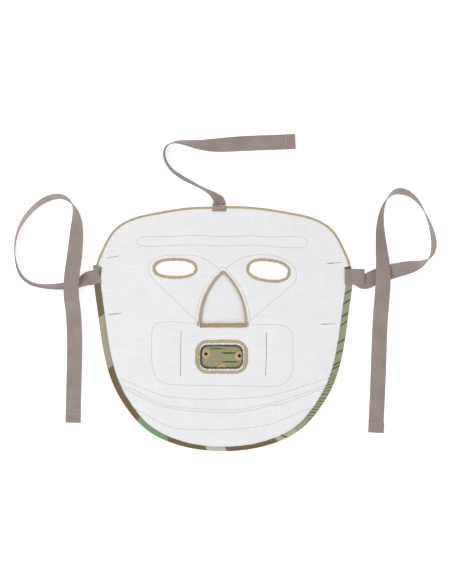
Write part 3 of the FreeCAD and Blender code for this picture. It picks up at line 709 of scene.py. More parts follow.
# %% Openings
eye_lines = {}
for side in ("left", "right"):
    rim = rims("eye_edging_" + side, level("eye_edging_" + side))[1]
    eye_lines[side] = Line(smooth_places(rim, True), closed=True)
nose_low, nose_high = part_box("nose_edging")
EDGING_WIDTH = 3.1
NOSE_FOOT = nose_low[1] / MM + EDGING_WIDTH
NOSE_HALF = (nose_high[0] - nose_low[0]) / MM / 2 - EDGING_WIDTH
NOSE_RADIUS = 73.27  # of both sides of the arch
mouth_low, mouth_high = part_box("mouth_edging")
MOUTH_MIDDLE = ((mouth_low[0] + mouth_high[0]) / 2 / MM, (mouth_low[1] + mouth_high[1]) / 2 / MM)
MOUTH_HOLE = (45.3, 25.5, 8.0)  # width, height and corner radius


def arch_places(grow, steps=24):
    """The two sides of the nose arch, from its right foot over the point to its left foot."""
    offset, radius = NOSE_RADIUS - NOSE_HALF, NOSE_RADIUS + grow
    top = math.acos(offset / radius)
    right = [(NOSE_X - offset + radius * math.cos(top * k / steps),
              NOSE_FOOT + radius * math.sin(top * k / steps)) for k in range(steps + 1)]
    return right + [(2 * NOSE_X - x, y) for x, y in reversed(right[:-1])]


def mouth_places(grow):
    wide, high, corner = MOUTH_HOLE
    return rounded_places(*MOUTH_MIDDLE, wide + 2 * grow, high + 2 * grow, corner + grow)


print("nose arch", round(2 * NOSE_HALF, 1), "mm wide, from y", round(NOSE_FOOT, 1),
      "to", round(max(y for _, y in arch_places(0)), 1))

# %% [markdown]
# ## Where the seams run
# The rows of stitches hold the layers together and draw shallow furrows in the
# lining. They were guided by hand, so they wander a little. Each row has the model
# part that it stands for, its places, and the outer layer where its back shows.

# %% The sewing plan
BAND_TOP = [(-107.5, -51.4), (-105.2, -52.2), (-81.3, -62.6), (-60.5, -69.9), (-39.7, -72.6), (-16.8, -73.4),
            (12.3, -72.4), (37.2, -70.9), (64.3, -65.7), (87.2, -58.4), (110.0, -51.2)]
SEAM_UPPER = [(-105.0, -58.6), (-102.1, -59.9), (-91.7, -64.1), (-77.2, -72.0), (-68.8, -76.8),
              (-52.2, -80.7), (-35.6, -82.4), (-16.8, -83.8), (4.0, -84.4), (20.6, -83.8), (31.0, -81.3),
              (45.6, -78.2), (60.1, -75.1), (74.7, -69.9), (91.3, -64.1), (106.5, -58.2)]
SEAM_LOWER = [(-103.0, -61.6), (-91.7, -67.8), (-77.2, -74.5), (-68.8, -79.7), (-50.1, -82.8),
              (-33.5, -85.5), (-16.8, -86.5), (-0.2, -86.9), (20.6, -86.1), (33.1, -84.0), (45.6, -80.7),
              (62.2, -77.8), (76.8, -72.6), (93.4, -66.1), (104.8, -62.0)]
BAND_LOW = [(-92.5, -83.6), (-81.3, -88.6), (-64.7, -98.4), (-50.1, -103.2), (-25.2, -104.6),
            (1.9, -104.8), (24.8, -103.2), (43.5, -100.5), (62.2, -94.2), (74.7, -88.6), (94.0, -82.2)]
CHANNEL = [(-83.9, 95.2), (-57.1, 95.9), (-36.3, 97.2), (-20.7, 97.0), (-1.6, 95.9), (15.7, 96.2),
           (29.6, 97.2), (41.7, 95.8), (83.0, 95.0), (87.0, 92.9), (87.9, 89.6), (86.6, 86.0),
           (82.6, 84.8), (50.4, 85.6), (40.0, 86.7), (24.4, 86.9), (-1.6, 86.3), (-20.7, 87.2),
           (-39.7, 87.2), (-57.1, 86.4), (-83.9, 86.3), (-88.0, 87.9), (-89.3, 91.0), (-87.6, 94.0)]
MOUTH_PATCH = [(-29.4, 5.3), (-64.0, 6.7), (-70.0, 4.6), (-73.4, 0.0), (-74.4, -8.0), (-74.4, -20.3),
               (-74.0, -36.0), (-72.3, -44.6), (-67.5, -53.2), (-60.0, -57.2), (-50.0, -58.2),
               (-1.6, -58.8), (50.0, -59.8), (60.0, -58.2), (67.4, -53.6), (71.6, -45.4), (72.3, -27.2),
               (72.1, -8.2), (70.4, -2.2), (66.0, 1.8), (58.0, 3.9), (29.4, 4.0)]
EYE_PATCH_LEFT = [(-28.5, 9.2), (-50.6, 30.4), (-68.3, 47.4), (-73.6, 53.0), (-77.3, 59.8), (-77.3, 66.4),
                  (-73.0, 72.2), (-64.0, 75.6), (-44.9, 76.9), (-28.6, 75.7), (-18.9, 72.6),
                  (-10.3, 67.0), (-3.3, 61.9)]
EYE_PATCH_RIGHT = [(27.9, 8.3), (50.8, 27.8), (69.0, 43.2), (74.2, 48.4), (76.5, 56.8), (72.9, 65.5),
                   (64.3, 71.6), (52.1, 76.0), (40.0, 77.1), (24.4, 75.0), (14.0, 71.2), (2.0, 62.2)]
FLAP_LEFT = [(-43.7, -2.6), (-44.1, -14.0), (-44.3, -30.0), (-44.4, -49.2)]
FLAP_RIGHT = [(44.7, -4.0), (45.0, -16.0), (44.8, -32.0), (44.0, -49.2)]
BARS = {"left": ((-114.7, 74.7), (-112.9, 15.4)), "right": ((115.1, 68.4), (109.0, 5.0))}
# How far each bar slopes up to the right, in degrees: the upper one, the lower one.
BAR_SLOPES = {"left": (10.0, 7.5), "right": (4.8, 2.2)}

thread_rows = {
    "forehead_channel_stitching": [(Line(smooth_places(CHANNEL, True), closed=True), SHELL_UNDER)],
    "eye_patch_stitching": [(Line(smooth_places(EYE_PATCH_LEFT)), PATCH_UNDER),
                            (Line(smooth_places(EYE_PATCH_RIGHT)), PATCH_UNDER)],
    "nose_cover_stitching": [(Line(arch_places(5.2)), COVER_UNDER)],
    "mouth_patch_stitching": [(Line(smooth_places(MOUTH_PATCH)), PATCH_UNDER)],
    "mouth_flap_seams": [(Line(smooth_places(FLAP_LEFT)), COVER_UNDER),
                         (Line(smooth_places(FLAP_RIGHT)), COVER_UNDER)],
    "chin_seam_stitching": [(Line(smooth_places(SEAM_UPPER)), SHELL_UNDER),
                            (Line(smooth_places(SEAM_LOWER)), SHELL_UNDER)],
    "chin_band_stitching": [(Line(smooth_places(BAND_TOP)), SHELL_UNDER),
                            (Line(smooth_places(BAND_LOW)), SHELL_UNDER)],
}
print({name: round(sum(line.long for line, _ in rows)) for name, rows in thread_rows.items()}, "mm")

# %% [markdown]
# ## The lining's relief
# A brushed lining swells between its seams and sinks where a thread pulls it down.
# The distance to the nearest stitch decides how far, and slow noise adds the soft
# hills of cloth that has been handled. Short puckers cross the curved chin seams.

# %% Relief of the lining
FURROW = 0.34  # how deep a row of stitches pulls the lining down
SPREAD = 1.9  # how far to each side of the row


def tree_of(lines, step=1.2):
    """Places along lines, sorted so that the nearest one is found fast."""
    spots = [spot for line in lines for spot in line.places(step)]
    tree = kdtree.KDTree(len(spots))
    for i, (x, y) in enumerate(spots):
        tree.insert((x, y, 0), i)
    tree.balance()
    return tree


edge_lines = list(eye_lines.values()) + [Line(arch_places(3)), Line(mouth_places(3), closed=True)]
chin_rows = thread_rows["chin_seam_stitching"] + thread_rows["chin_band_stitching"]
seam_tree = tree_of([line for rows in thread_rows.values() for line, _ in rows])
chin_tree = tree_of([line for line, _ in chin_rows])
edge_tree = tree_of(edge_lines + [panel_edge])


def relief(x, y):
    """How far the lining's face is from level at a place, in millimetres."""
    seam = seam_tree.find((x, y, 0))[2]
    chin = chin_tree.find((x, y, 0))[2]
    edge = edge_tree.find((x, y, 0))[2]
    calm = min(1.0, edge / 9.0)
    hills = 0.36 * noise.noise((x / 34, y / 30, 1.3)) + 0.16 * noise.noise((x / 12, y / 15, 4.1))
    puckers = 0.5 * noise.noise((x / 4.8, y / 17, 7.7)) * math.exp(-(chin / 8.0) ** 2)
    sunk = FURROW * math.exp(-(seam / SPREAD) ** 2)
    return (hills + puckers) * calm - sunk * min(1.0, edge / 4.0)


# %% [markdown]
# ## Cloth from the model's own layers
# Every cloth layer starts as a copy of its solid, so its outline and holes are right.
# The copy is merged, its flat faces are joined, and planes cut it into square cells
# that can bend. Only faces that show are then moved; hidden ones stay where they lie.

# %% Cloth layers
def cut_cells(bm, low, high, cell):
    """Cut a mesh along a square grid, so that it can bend; cell is in millimetres."""
    for axis in (0, 1):
        way = Vector((1.0, 0, 0)) if axis == 0 else Vector((0, 1.0, 0))
        at = low[axis] + 0.5 * cell * MM
        while at < high[axis]:
            bmesh.ops.bisect_plane(bm, geom=bm.verts[:] + bm.edges[:] + bm.faces[:], dist=1e-7,
                                   plane_co=way * at, plane_no=way)
            at += cell * MM


def layer(node, cell, half=0, middle=0.0):
    """A model layer in cells, and its flat area; half keeps one side of the line x = middle."""
    low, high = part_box(node)
    bm = bmesh.new()
    bm.from_mesh(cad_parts[node].data)
    bmesh.ops.remove_doubles(bm, verts=bm.verts, dist=1e-6)
    bmesh.ops.dissolve_limit(bm, angle_limit=0.01, verts=bm.verts, edges=bm.edges)
    if half:
        bmesh.ops.bisect_plane(bm, geom=bm.verts[:] + bm.edges[:] + bm.faces[:], dist=1e-7,
                               plane_co=mm(middle, 0), plane_no=(half, 0, 0), clear_inner=True)
        bmesh.ops.holes_fill(bm, edges=[e for e in bm.edges if e.is_boundary], sides=0)
    cut_cells(bm, low, high, cell)
    return bm, sum(f.calc_area() for f in bm.faces) / 2


# %% [markdown]
# The lining itself: only its upper face is cut and shaped, and then the face is
# extruded down to the level of the shell, which closes it.

# %% Lining
def lining_paint():
    paint = Paint("white_lining", Sheen_Weight=0.15, Sheen_Roughness=0.6, Specular_IOR_Level=0.2)
    x, y, z = paint.place()
    warp, weft = waves(x, 0.62), waves(y, 0.58)
    thick_weft = paint.cloud(paint.joined(x * 0.045, y * 0.75, z), detail=3.0)
    thick_warp = paint.cloud(paint.joined(x * 0.75, y * 0.045, z), detail=3.0)
    nap = paint.cloud(paint.joined(x, y, z), scale=1.7, detail=4.0)
    stain = paint.cloud(paint.joined(x, y, z), scale=0.03)
    share = thick_weft * 0.42 + thick_warp * 0.26 + nap * 0.12 + stain * 0.20
    colour = paint.mix(share, shade(206, 206, 209), shade(242, 242, 244))
    weave = warp * 0.2 + weft * 0.25 + thick_weft * 0.45 + thick_warp * 0.35 + nap * 0.5
    return paint.finish(colour, 0.95 - nap * 0.1, weave, 0.16, 0.5)


white_lining = lining_paint()


def top_face(node, height, cell):
    """The upper face of a layer alone, in cells."""
    low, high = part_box(node)
    bm = bmesh.new()
    bm.from_mesh(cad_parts[node].data)
    bmesh.ops.remove_doubles(bm, verts=bm.verts, dist=1e-6)
    spare = [f for f in bm.faces if any(abs(v.co.z / MM - height) > 0.02 for v in f.verts)]
    bmesh.ops.delete(bm, geom=spare, context="FACES")
    bmesh.ops.dissolve_limit(bm, angle_limit=0.01, verts=bm.verts, edges=bm.edges)
    cut_cells(bm, low, high, cell)
    return bm


def closed_down(bm, height):
    """Extrude an open face down to a height, which makes it a solid."""
    grown = bmesh.ops.extrude_face_region(bm, geom=bm.faces[:])["geom"]
    for item in grown:
        if isinstance(item, bmesh.types.BMVert):
            item.co.z = height * MM
    bmesh.ops.recalc_face_normals(bm, faces=bm.faces)


bm = top_face("lining", LINING_TOP, 2.0)
flat_area = sum(f.calc_area() for f in bm.faces)
print("flat lining", round(flat_area * 1e4, 1), "square centimetres")
for vert in bm.verts:
    vert.co.z += relief(vert.co.x / MM, vert.co.y / MM) * MM
closed_down(bm, LINING_UNDER)
lining = shown("face_lining", bm, white_lining)
on_panel(lining, "lining")

# %% [markdown]
# ## Camouflage cloth
# The outer cloth is printed with a ground of dull olive tan, clouds of brown and
# light green with crisp edges, and short dark green dashes that all lie one way. The
# clouds are noise cut off at a level, and the dashes are noise stretched sideways.

# %% Camouflage
BROWN = shade(112, 95, 72)
LIGHT_GREEN, DARK_GREEN = shade(122, 150, 112), shade(70, 104, 54)


def weave_relief(paint, x, y):
    return waves(x, 0.7) * 0.4 + waves(y, 0.7) * 0.4


def camouflage(name, dashes=()):
    """Printed cloth; dashes are (left, right, y, half thickness) where a certain one belongs."""
    paint = Paint(name, Specular_IOR_Level=0.2, Sheen_Weight=0.1)
    x, y, _ = paint.place()
    grain = paint.cloud(paint.joined(x * 0.9, y * 0.9), detail=3.0).above(0.28, 0.72)
    colour = paint.mix(grain, shade(128, 121, 94), shade(182, 176, 148))
    if dashes:
        dash = 0.0
        for left, right, height, thick in dashes:
            share = abs((x - (left + right) / 2) / ((right - left) / 2))
            lens_shape = (1 - share * share * share * share) * thick
            edge = paint.cloud(paint.joined(x * 0.8, y * 0.8)) * 0.5 - 0.25
            dash = (lens_shape + edge - abs(y - height)).above(-0.1, 0.2) + dash
    else:
        brown = paint.cloud(paint.joined(x * 0.022, y * 0.034), detail=3.0).above(0.545, 0.56)
        green = paint.cloud(paint.joined(x * 0.026 + 7, y * 0.04 + 3), detail=3.0).above(0.57, 0.585)
        dash = paint.cloud(paint.joined(x * 0.055, y * 0.62 + 11), detail=1.0).above(0.645, 0.675)
        colour = paint.mix(green, paint.mix(brown, colour, BROWN), LIGHT_GREEN)
    colour = paint.mix(dash, colour, DARK_GREEN)
    colour = paint.mix(0.32 - grain * 0.32, colour, shade(60, 54, 40))
    return paint.finish(colour, 0.9 - grain * 0.1, weave_relief(paint, x, y) + grain * 0.4, 0.1)


outer_camouflage = camouflage("camouflage_cloth")
FLAP_DASHES = [(-14.2, -0.2, -20.8, 0.75), (-2.8, 14.9, -25.2, 1.0), (-2.8, 17.0, -34.5, 0.95),
               (-60, -30, -29, 0.9), (24, 52, -12, 0.9), (-40, -14, -46.5, 0.9)]
flap_camouflage = camouflage("mouth_flap_cloth", FLAP_DASHES)

# %% [markdown]
# The outer shell in two parts, with the patches round the eyes and the mouth. Their
# lower faces are the outside of the mask. They wave slightly, all by the same amount
# at one place, so that the layers never pass through each other.

# %% Outer cloth
def outer_wave(x, y):
    """How far the outside of the mask is from level, upward, in millimetres."""
    seam = seam_tree.find((x, y, 0))[2]
    return 0.10 + 0.12 * noise.noise((x / 22, y / 22, 9.0)) + 0.14 * math.exp(-(seam / 2.2) ** 2)


def outer_cloth(node, name):
    """A layer of the print, with its lower face and the shell's lower level waved."""
    bm, area = layer(node, 5.0)
    lowest = level(node, top=False)
    for vert in bm.verts:
        if abs(vert.co.z / MM - lowest) < 0.02 or abs(vert.co.z / MM - SHELL_UNDER) < 0.02:
            vert.co.z += outer_wave(vert.co.x / MM, vert.co.y / MM) * MM
    piece = shown(name, bm, outer_camouflage)
    on_panel(piece, node)


outer_cloth("face_shell", "outer_face_cloth")
outer_cloth("chin_shell", "outer_chin_cloth")
outer_cloth("mouth_patch", "mouth_surround_patch")
for side in ("left", "right"):
    outer_cloth("eye_patch_" + side, side + "_eye_surround_patch")

# %% [markdown]
# ## Corded edges
# The cut edges are covered by satin stitch: threads laid side by side across the edge
# until they make a cord. A section is swept round the opening and swells once for
# every stitch. Each stitch also reaches a little more or less far than the last.

# %% Satin stitch
def satin_paint(name, dark, light, turn=1.15, turn_shade=0.24):
    """Thread laid side by side; turn is a stitch's width, the last argument how dark the painted shade
    between stitches is.
    """
    paint = Paint(name, Sheen_Weight=0.3, Sheen_Roughness=0.4, Specular_IOR_Level=0.35)
    along, across = paint.laid()
    drift = paint.cloud(paint.joined(along * 0.3, across * 0.2)) * 5
    strand = (along * (2 * math.pi / 0.42) + drift).sine() * 0.5 + 0.5
    tint = paint.cloud(paint.joined(along * 0.22, across * 0.05), detail=3.0)
    fluff = paint.cloud(paint.joined(along * 1.6, across * 0.5), detail=4.0)
    # Painted shade: each stitch is lighter in its middle and darker where it meets the next, one stitch
    # wide.
    turns = waves(along + across * 0.3, turn)
    share = strand * 0.22 + tint * 0.40 + fluff * 0.50 + turns * turn_shade - turn_shade * 0.75
    return paint.finish(paint.mix(share, dark, light), 0.78, strand * 0.5 + fluff * 0.6, 0.18, 0.8)


tan_satin = satin_paint("tan_satin", shade(134, 115, 86), shade(212, 196, 166))
# The rope at the nose foot carries strong painted shade between its turns.
rope_satin = satin_paint("rope_satin", shade(120, 100, 72), shade(214, 197, 164), turn=2.1, turn_shade=0.75)


def satin(name, line, section, finish, pitch=0.95, ridge=0.13, ragged=0.16, slant=0.0, wander=0.0,
          wider=None):
    """A cord of stitches along a line; section is a loop of (outward, height), in millimetres."""
    count = max(4, round(line.long / pitch))
    per = 4
    reach = [random.uniform(-1, 1) for _ in range(count)]
    fat = [random.uniform(0.6, 1.25) for _ in range(count)]
    mid_out = sum(out for out, _ in section) / len(section)
    mid_high = sum(high for _, high in section) / len(section)

    def place(i, j):
        out, high = section[j % len(section)]
        which, phase = (i // per) % count, (i % per) / per
        swell = math.sin(math.pi * phase) * fat[which]
        dx, dz = out - mid_out, high - mid_high  # from the middle of the cord
        far = math.hypot(dx, dz)
        x, y, tx, ty = line.at(line.long * i / (count * per) + slant * dx)
        out += dx / far * ridge * swell + math.copysign(1, dx) * ragged * reach[which] * swell * 0.6
        out += math.copysign(wander, dx) * noise.noise((x / 2.6, y / 2.6, 3.0 + math.copysign(2.0, dx)))
        if wider and dx < 0:
            out -= wider(x, y)
        high += dz / far * ridge * swell
        return mm(x + ty * out, y - tx * out, high), (line.long * i / (count * per), out + high)
    return shown(name, bent_grid(count * per, len(section), place, closed=line.closed), finish,
                 creases=75)


def cord_section(inner, outer, under, over):
    """A loop round a cut edge: flat sides and softly rounded top and bottom."""
    wide = outer - inner
    return [(inner, under + 0.7), (inner, over - 0.7), (inner + 0.12 * wide, over - 0.22),
            (inner + 0.32 * wide, over), (inner + 0.68 * wide, over), (inner + 0.88 * wide, over - 0.22),
            (outer, over - 0.62), (outer, under + 0.62), (inner + 0.88 * wide, under + 0.2),
            (inner + 0.6 * wide, under), (inner + 0.3 * wide, under), (inner + 0.1 * wide, under + 0.2)]


for side, line in eye_lines.items():
    node = "eye_edging_" + side
    cord = satin(side + "_eye_edge", line, cord_section(0.1, 2.85, level(node, False), level(node) + 0.25),
                 tan_satin, pitch=1.15, ridge=0.2, ragged=0.4, wander=0.5)
    on_panel(cord, "eye_edging_" + side)

# %% [markdown]
# The nose opening is sewn in two goes: up over the point, and then along the foot,
# where the cord is thicker and its stitches show like the turns of a rope, with strong painted shade between
# the turns.

# %% Nose and mouth edges
nose_under, nose_over = level("nose_edging", False), level("nose_edging")
cord = satin("nose_arch_edge", Line(arch_places(0.0)), cord_section(0.05, 2.55, nose_under, nose_over + 0.2),
             tan_satin, pitch=1.15, ridge=0.18, ragged=0.3, wander=0.3)
on_panel(cord, "nose_edging")
foot = Line([(NOSE_X - NOSE_HALF - 1.5, NOSE_FOOT), (NOSE_X + NOSE_HALF + 1.5, NOSE_FOOT)])
cord = satin("nose_foot_edge", foot, cord_section(-0.3, 3.3, nose_under - 0.1, nose_over + 0.4), rope_satin,
             pitch=2.1, ridge=0.5, ragged=0.4, slant=0.3)
on_panel(cord, "nose_edging")


MOUTH_END_WIDER = 1.1
MOUTH_SECTION = [(0.0, 4.3), (0.3, 4.8), (1.1, 5.15), (2.2, 5.15), (3.0, 4.8), (3.3, 4.3), (2.2, 4.1),
                 (1.1, 4.1)]


def beside_mouth(x, y):
    """How much broader the mouth's cord is at its two ends, in millimetres."""
    over = (abs(x - MOUTH_MIDDLE[0]) - 15) / 8
    return MOUTH_END_WIDER * min(1.0, max(0.0, over)) * max(0.0, 1 - (abs(y - MOUTH_MIDDLE[1]) / 13) ** 2)


cord = satin("mouth_edge", Line(mouth_places(1.6), closed=True), MOUTH_SECTION, tan_satin, pitch=1.2,
             ridge=0.2, ragged=0.34, wander=0.4, wider=beside_mouth)
on_panel(cord, "mouth_edging")

# %% [markdown]
# ## The panel's rim
# Over the brow the edge is overcast with slanting tan stitches. From the temples down
# it is bound in a strip of the camouflage cloth, whose section is a U laid round the
# layers. The strip is widest at the cheeks and narrower under the chin.

# %% Brow overcast
SPLIT_Y = 66.0
RIM_OUT = 0.6


def rim_part(above):
    """The outline above or below the temples, as an open line run anticlockwise."""
    places = [panel_edge.at(k * 0.5) for k in range(int(panel_edge.long / 0.5))]
    places = [(x + ty * RIM_OUT, y - tx * RIM_OUT) for x, y, tx, ty in places]
    inside = [(y > SPLIT_Y) == above for _, y in places]
    start = next(i for i in range(len(places)) if inside[i] and not inside[i - 1])
    turned = places[start:] + places[:start]
    return Line([p for p in turned if (p[1] > SPLIT_Y) == above])


brow_line, binding_line = rim_part(True), rim_part(False)
over_low, over_high = level("top_edge_overcast", False), level("top_edge_overcast")
cord = satin("brow_overcast", brow_line, cord_section(-2.3, 0.0, over_low, over_high + 0.15), tan_satin,
             pitch=1.3, ridge=0.2, ragged=0.14, slant=0.5)
on_panel(cord, "top_edge_overcast")
print("brow", round(brow_line.long), "mm, binding", round(binding_line.long), "mm")

# %% [markdown]
# The binding was cut from several scraps of the print, so its colours change along
# its length: a ramp with sharp steps gives each scrap its ground, and on the right a
# run of slanting dark green dashes crosses it.

# %% Binding
# Where each scrap starts, anticlockwise from the left temple, and its ground colour.
SCRAPS = [((-133.5, 66), (134, 140, 114)), ((-134, 60), (118, 104, 80)),
          ((-133.0, 12.6), (166, 162, 140)), ((-121.5, -41.1), (116, 98, 74)),
          ((-88.6, -95.9), (124, 156, 118)), ((-57.4, -115.6), (112, 95, 72)),
          ((-16.8, -127.0), (196, 192, 174)), ((1.9, -127.4), (112, 95, 72)),
          ((54.9, -114.6), (180, 178, 156)), ((74.7, -104.0), (160, 156, 130)),
          ((132.4, 59.0), (104, 92, 66))]
# The dark dashes of the right side: single ones up by the temple, then a close run.
SINGLE_DASHES = [(129.5, 38.5), (128.5, 28.2), (127.9, 14.4), (126.0, 5.0), (124.3, -12.5), (122.0, -24.6),
                 (118.9, -35.9), (117.1, -40.2), (62.2, -110.4)]
CLOSE_DASHES = [(87.2, -94.8), (114.4, -48.0)]
DASH_PITCH = 4.1
DASH_LEAN = 0.85  # how far a dash runs along the strip for each millimetre across it


def binding_paint():
    paint = Paint("binding_print", Specular_IOR_Level=0.2, Sheen_Weight=0.1)
    along, across = paint.laid()
    x, y, _ = paint.place()
    stops = [(binding_line.nearest(*spot) / binding_line.long, shade(*colour)) for spot, colour in SCRAPS]
    stops[0] = (0.0, stops[0][1])
    slanted = (along + across * 0.5) / binding_line.long
    scraps = paint.node("ShaderNodeValToRGB", {"stops": stops}, {0: slanted})
    wobble = paint.cloud(paint.joined(x * 0.05, y * 0.05)) * 3
    slant = along + across * DASH_LEAN + wobble
    low, high = (binding_line.nearest(*spot) for spot in CLOSE_DASHES)
    close = along.above(low, low + 3) * (1 - along.above(high, high + 3))
    stripe = ((slant + wobble * 2) * (2 * math.pi / DASH_PITCH)).sine().above(0.45, 0.75) * close
    for spot in SINGLE_DASHES:
        gap = abs(slant - (binding_line.nearest(*spot) + 3.5 * DASH_LEAN + 1.5))
        stripe = stripe + (1.1 - gap).above(-0.3, 0.3)
    broken = paint.cloud(paint.joined(x * 0.3, y * 0.3 + 5)).above(0.28, 0.40)
    grain = paint.cloud(paint.joined(x * 0.9, y * 0.9), detail=3.0)
    colour = paint.mix(stripe * broken, scraps, shade(74, 98, 58))
    colour = paint.mix(grain * 0.3, colour, shade(70, 62, 44))
    return paint.finish(colour, 0.92, weave_relief(paint, x, y) + grain * 0.4, 0.12)


def binding_width(s):
    """How wide the strip is at a distance along it: 7 mm at the cheeks, about 5 at the chin."""
    share = abs(s / binding_line.long - 0.5) * 2
    return 4.9 + 2.1 * min(1.0, max(0.0, (share - 0.12) / 0.45))


BIND_LOW, BIND_HIGH = level("edge_binding", False), level("edge_binding")
BIND_STEP = 1.5
BIND_CELLS = round(binding_line.long / BIND_STEP)
BIND_SECTION_POINTS = 15


def binding_place(i, j):
    s = i * binding_line.long / BIND_CELLS
    x, y, tx, ty = binding_line.at(s, 1.0)
    wide = binding_width(s) + 0.25 * noise.noise((s / 9, 0, 0))
    pull = 0.10 * noise.noise((s / 2.6, 3, 0))
    puff = 0.12 + 0.18 * noise.noise((s / 6.0, 8, 0))
    section = [(-wide, 4.35), (-wide + 0.1, 4.85 + pull), (-wide + 1.4, 4.92 + pull),
               (-wide * 0.5, BIND_HIGH + puff), (-1.2, BIND_HIGH + puff * 0.6),
               (-0.35, BIND_HIGH - 0.2), (0.0, BIND_HIGH - 0.8), (0.0, BIND_LOW + 0.8),
               (-0.35, BIND_LOW + 0.2), (-1.2, BIND_LOW), (-wide * 0.5, BIND_LOW + 0.05),
               (-wide, BIND_LOW + 0.15), (-wide, 2.0), (-0.6, 2.0), (-0.6, 4.38)]
    out, high = section[j % len(section)]
    return mm(x + ty * out, y - tx * out, high), (s, -out if high > 3.3 else out)


binding = shown("edge_binding_strip", bent_grid(BIND_CELLS, BIND_SECTION_POINTS, binding_place),
                binding_paint())
on_panel(binding, "edge_binding")

# %% [markdown]
# ## Rows of stitches
# A lockstitch row is a string of short stitches with small gaps, seen on both faces
# of the cloth. One drawn-out ball of a few faces, placed again and again along the
# line, makes the row, and it sinks and rises with the lining that it pulls down.

# %% Stitch rows
SEWN = 2.7


def surface(x, y):
    return LINING_TOP + relief(x, y)


def sew(bm, line, height, wide=0.5, step=SEWN, long=2.25, tall=0.34, start=0.0, stop=None, stray=0.05):
    """Put stitches along a line; height(x, y) is the level of the cloth in millimetres."""
    stop = line.long if stop is None else stop
    count = max(1, int((stop - start) / step))
    for k in range(count):
        s = start + (k + 0.5) * (stop - start) / count
        x, y, tx, ty = line.at(s, 1.2)
        off = random.uniform(-stray, stray)
        stitch(bm, mm(x + ty * off, y - tx * off, height(x, y) + 0.07), Vector((tx, ty, 0)),
               Vector((0, 0, 1)), long, wide, tall)


def flat_at(height):
    return lambda x, y: height


pale_thread = thread_paint("pale_thread", shade(138, 132, 112), shade(188, 182, 162))
for name, rows in thread_rows.items():
    bm = bmesh.new()
    for line, outer in rows:
        sew(bm, line, surface)
        sew(bm, line, flat_at(outer - 0.05))
    piece = shown(name.replace("stitching", "thread").replace("seams", "seam_thread"), bm, pale_thread)
    on_panel(piece, name)

# %% [markdown]
# Where a seam carries a load it is sewn over again: the mouth flap's seams, most of all
# at their ends, the short bars that hold the strap keepers, and the lower corners of the
# nose.

# %% Bars and tacks
BAR_HALF = 7.0
TACK_STITCHES = 7
TACK_PITCH = 0.75
bar_thread = thread_paint("bar_thread", shade(122, 102, 68), shade(186, 166, 126))


def dense(bm, line, start, stop, wide):
    """Close, thick stitches over a stretch of a line."""
    sew(bm, line, surface, wide=wide, step=1.1, long=2.4, tall=0.6, start=start, stop=stop, stray=0.12)


left_seam, right_seam = (line for line, _ in thread_rows["mouth_flap_seams"])
# Stretches of the two seams from their upper ends, and how wide the thread is there.
SEWN_AGAIN = [(left_seam, 0, 5, 0.7), (left_seam, 38, left_seam.long, 0.7), (left_seam, 5, 38, 0.5),
              (right_seam, 0, 17, 0.8), (right_seam, 17, 36, 0.55), (right_seam, 36, right_seam.long, 0.7)]
bm = bmesh.new()
for stretch in SEWN_AGAIN:
    dense(bm, *stretch)
overcast_ends = shown("mouth_flap_seam_ends", bm, bar_thread)
on_panel(overcast_ends, "mouth_flap_seams")

bm = bmesh.new()
for side, (upper, lower) in BARS.items():
    for n, (x, y) in enumerate((upper, lower)):
        slope = math.radians(BAR_SLOPES[side][n])
        reach = (BAR_HALF * math.cos(slope), BAR_HALF * math.sin(slope))
        bar = Line([(x - reach[0], y - reach[1]), (x + reach[0], y + reach[1])])
        sew(bm, bar, surface, wide=0.6, step=1.5, long=2.6)
        heavy = (0.2, 6.5) if side == "right" else (3.5, 10.5)
        if (side, n) != ("left", 0):
            dense(bm, bar, *heavy, 0.95)
        sew(bm, bar, flat_at(-0.02), wide=0.6, step=1.6)
bars = shown("keeper_bar_thread", bm, bar_thread)
on_panel(bars, "keeper_bar_tacks")

bm = bmesh.new()
for side in (-1, 1):
    x = NOSE_X + side * (NOSE_HALF + 3.0)
    for k in range(TACK_STITCHES):
        spot = mm(x + random.uniform(-0.3, 0.3), NOSE_FOOT - 2.4 + k * TACK_PITCH, LINING_TOP + 0.25)
        stitch(bm, spot, Vector((1, 0.25 * side, 0)).normalized(), Vector((0, 0, 1)), 2.0, 0.7, 0.7)
tacks = shown("nose_corner_thread", bm, tan_thread)
on_panel(tacks, "nose_corner_tacks")

# %% [markdown]
# The binding is held by its own row, close to its inner edge.

# %% Binding thread
places = []
for k in range(int(binding_line.long / 2)):
    x, y, tx, ty = binding_line.at(k * 2.0, 1.0)
    inward = binding_width(k * 2.0) - 1.2
    places.append((x - ty * inward, y + tx * inward))
binding_row = Line(places)
bm = bmesh.new()
sew(bm, binding_row, flat_at(BIND_HIGH - 0.12), wide=0.36, start=22.0, stop=binding_row.long - 22.0)
sew(bm, binding_row, flat_at(BIND_LOW - 0.02), wide=0.36)
olive_thread = thread_paint("olive_thread", shade(120, 112, 84), shade(160, 150, 122))
piece = shown("binding_thread", bm, olive_thread)
on_panel(piece, "binding_stitching")

# %% [markdown]
# ## The nose cover
# Outside the nose opening lies a cover of two layers, sewn to the panel up both sides
# and open at the foot. When it lifts, its middle line moves out like a hood while its
# sides stay sewn down. So it is made in two halves that meet on the middle line. Its
# lining rises a little inside the opening.

# %% Nose cover
HALVES = ((-1, "left"), (1, "right"))
COVER_SEAM_OUT, COVER_SEAM_DOWN = 5.4, 4.0  # the seam's foot, from the opening's corner
COVER_SEAM_TOP = 63.0
COVER_SWELL = 1.3
COVER_SWELL_TOP = 54.0


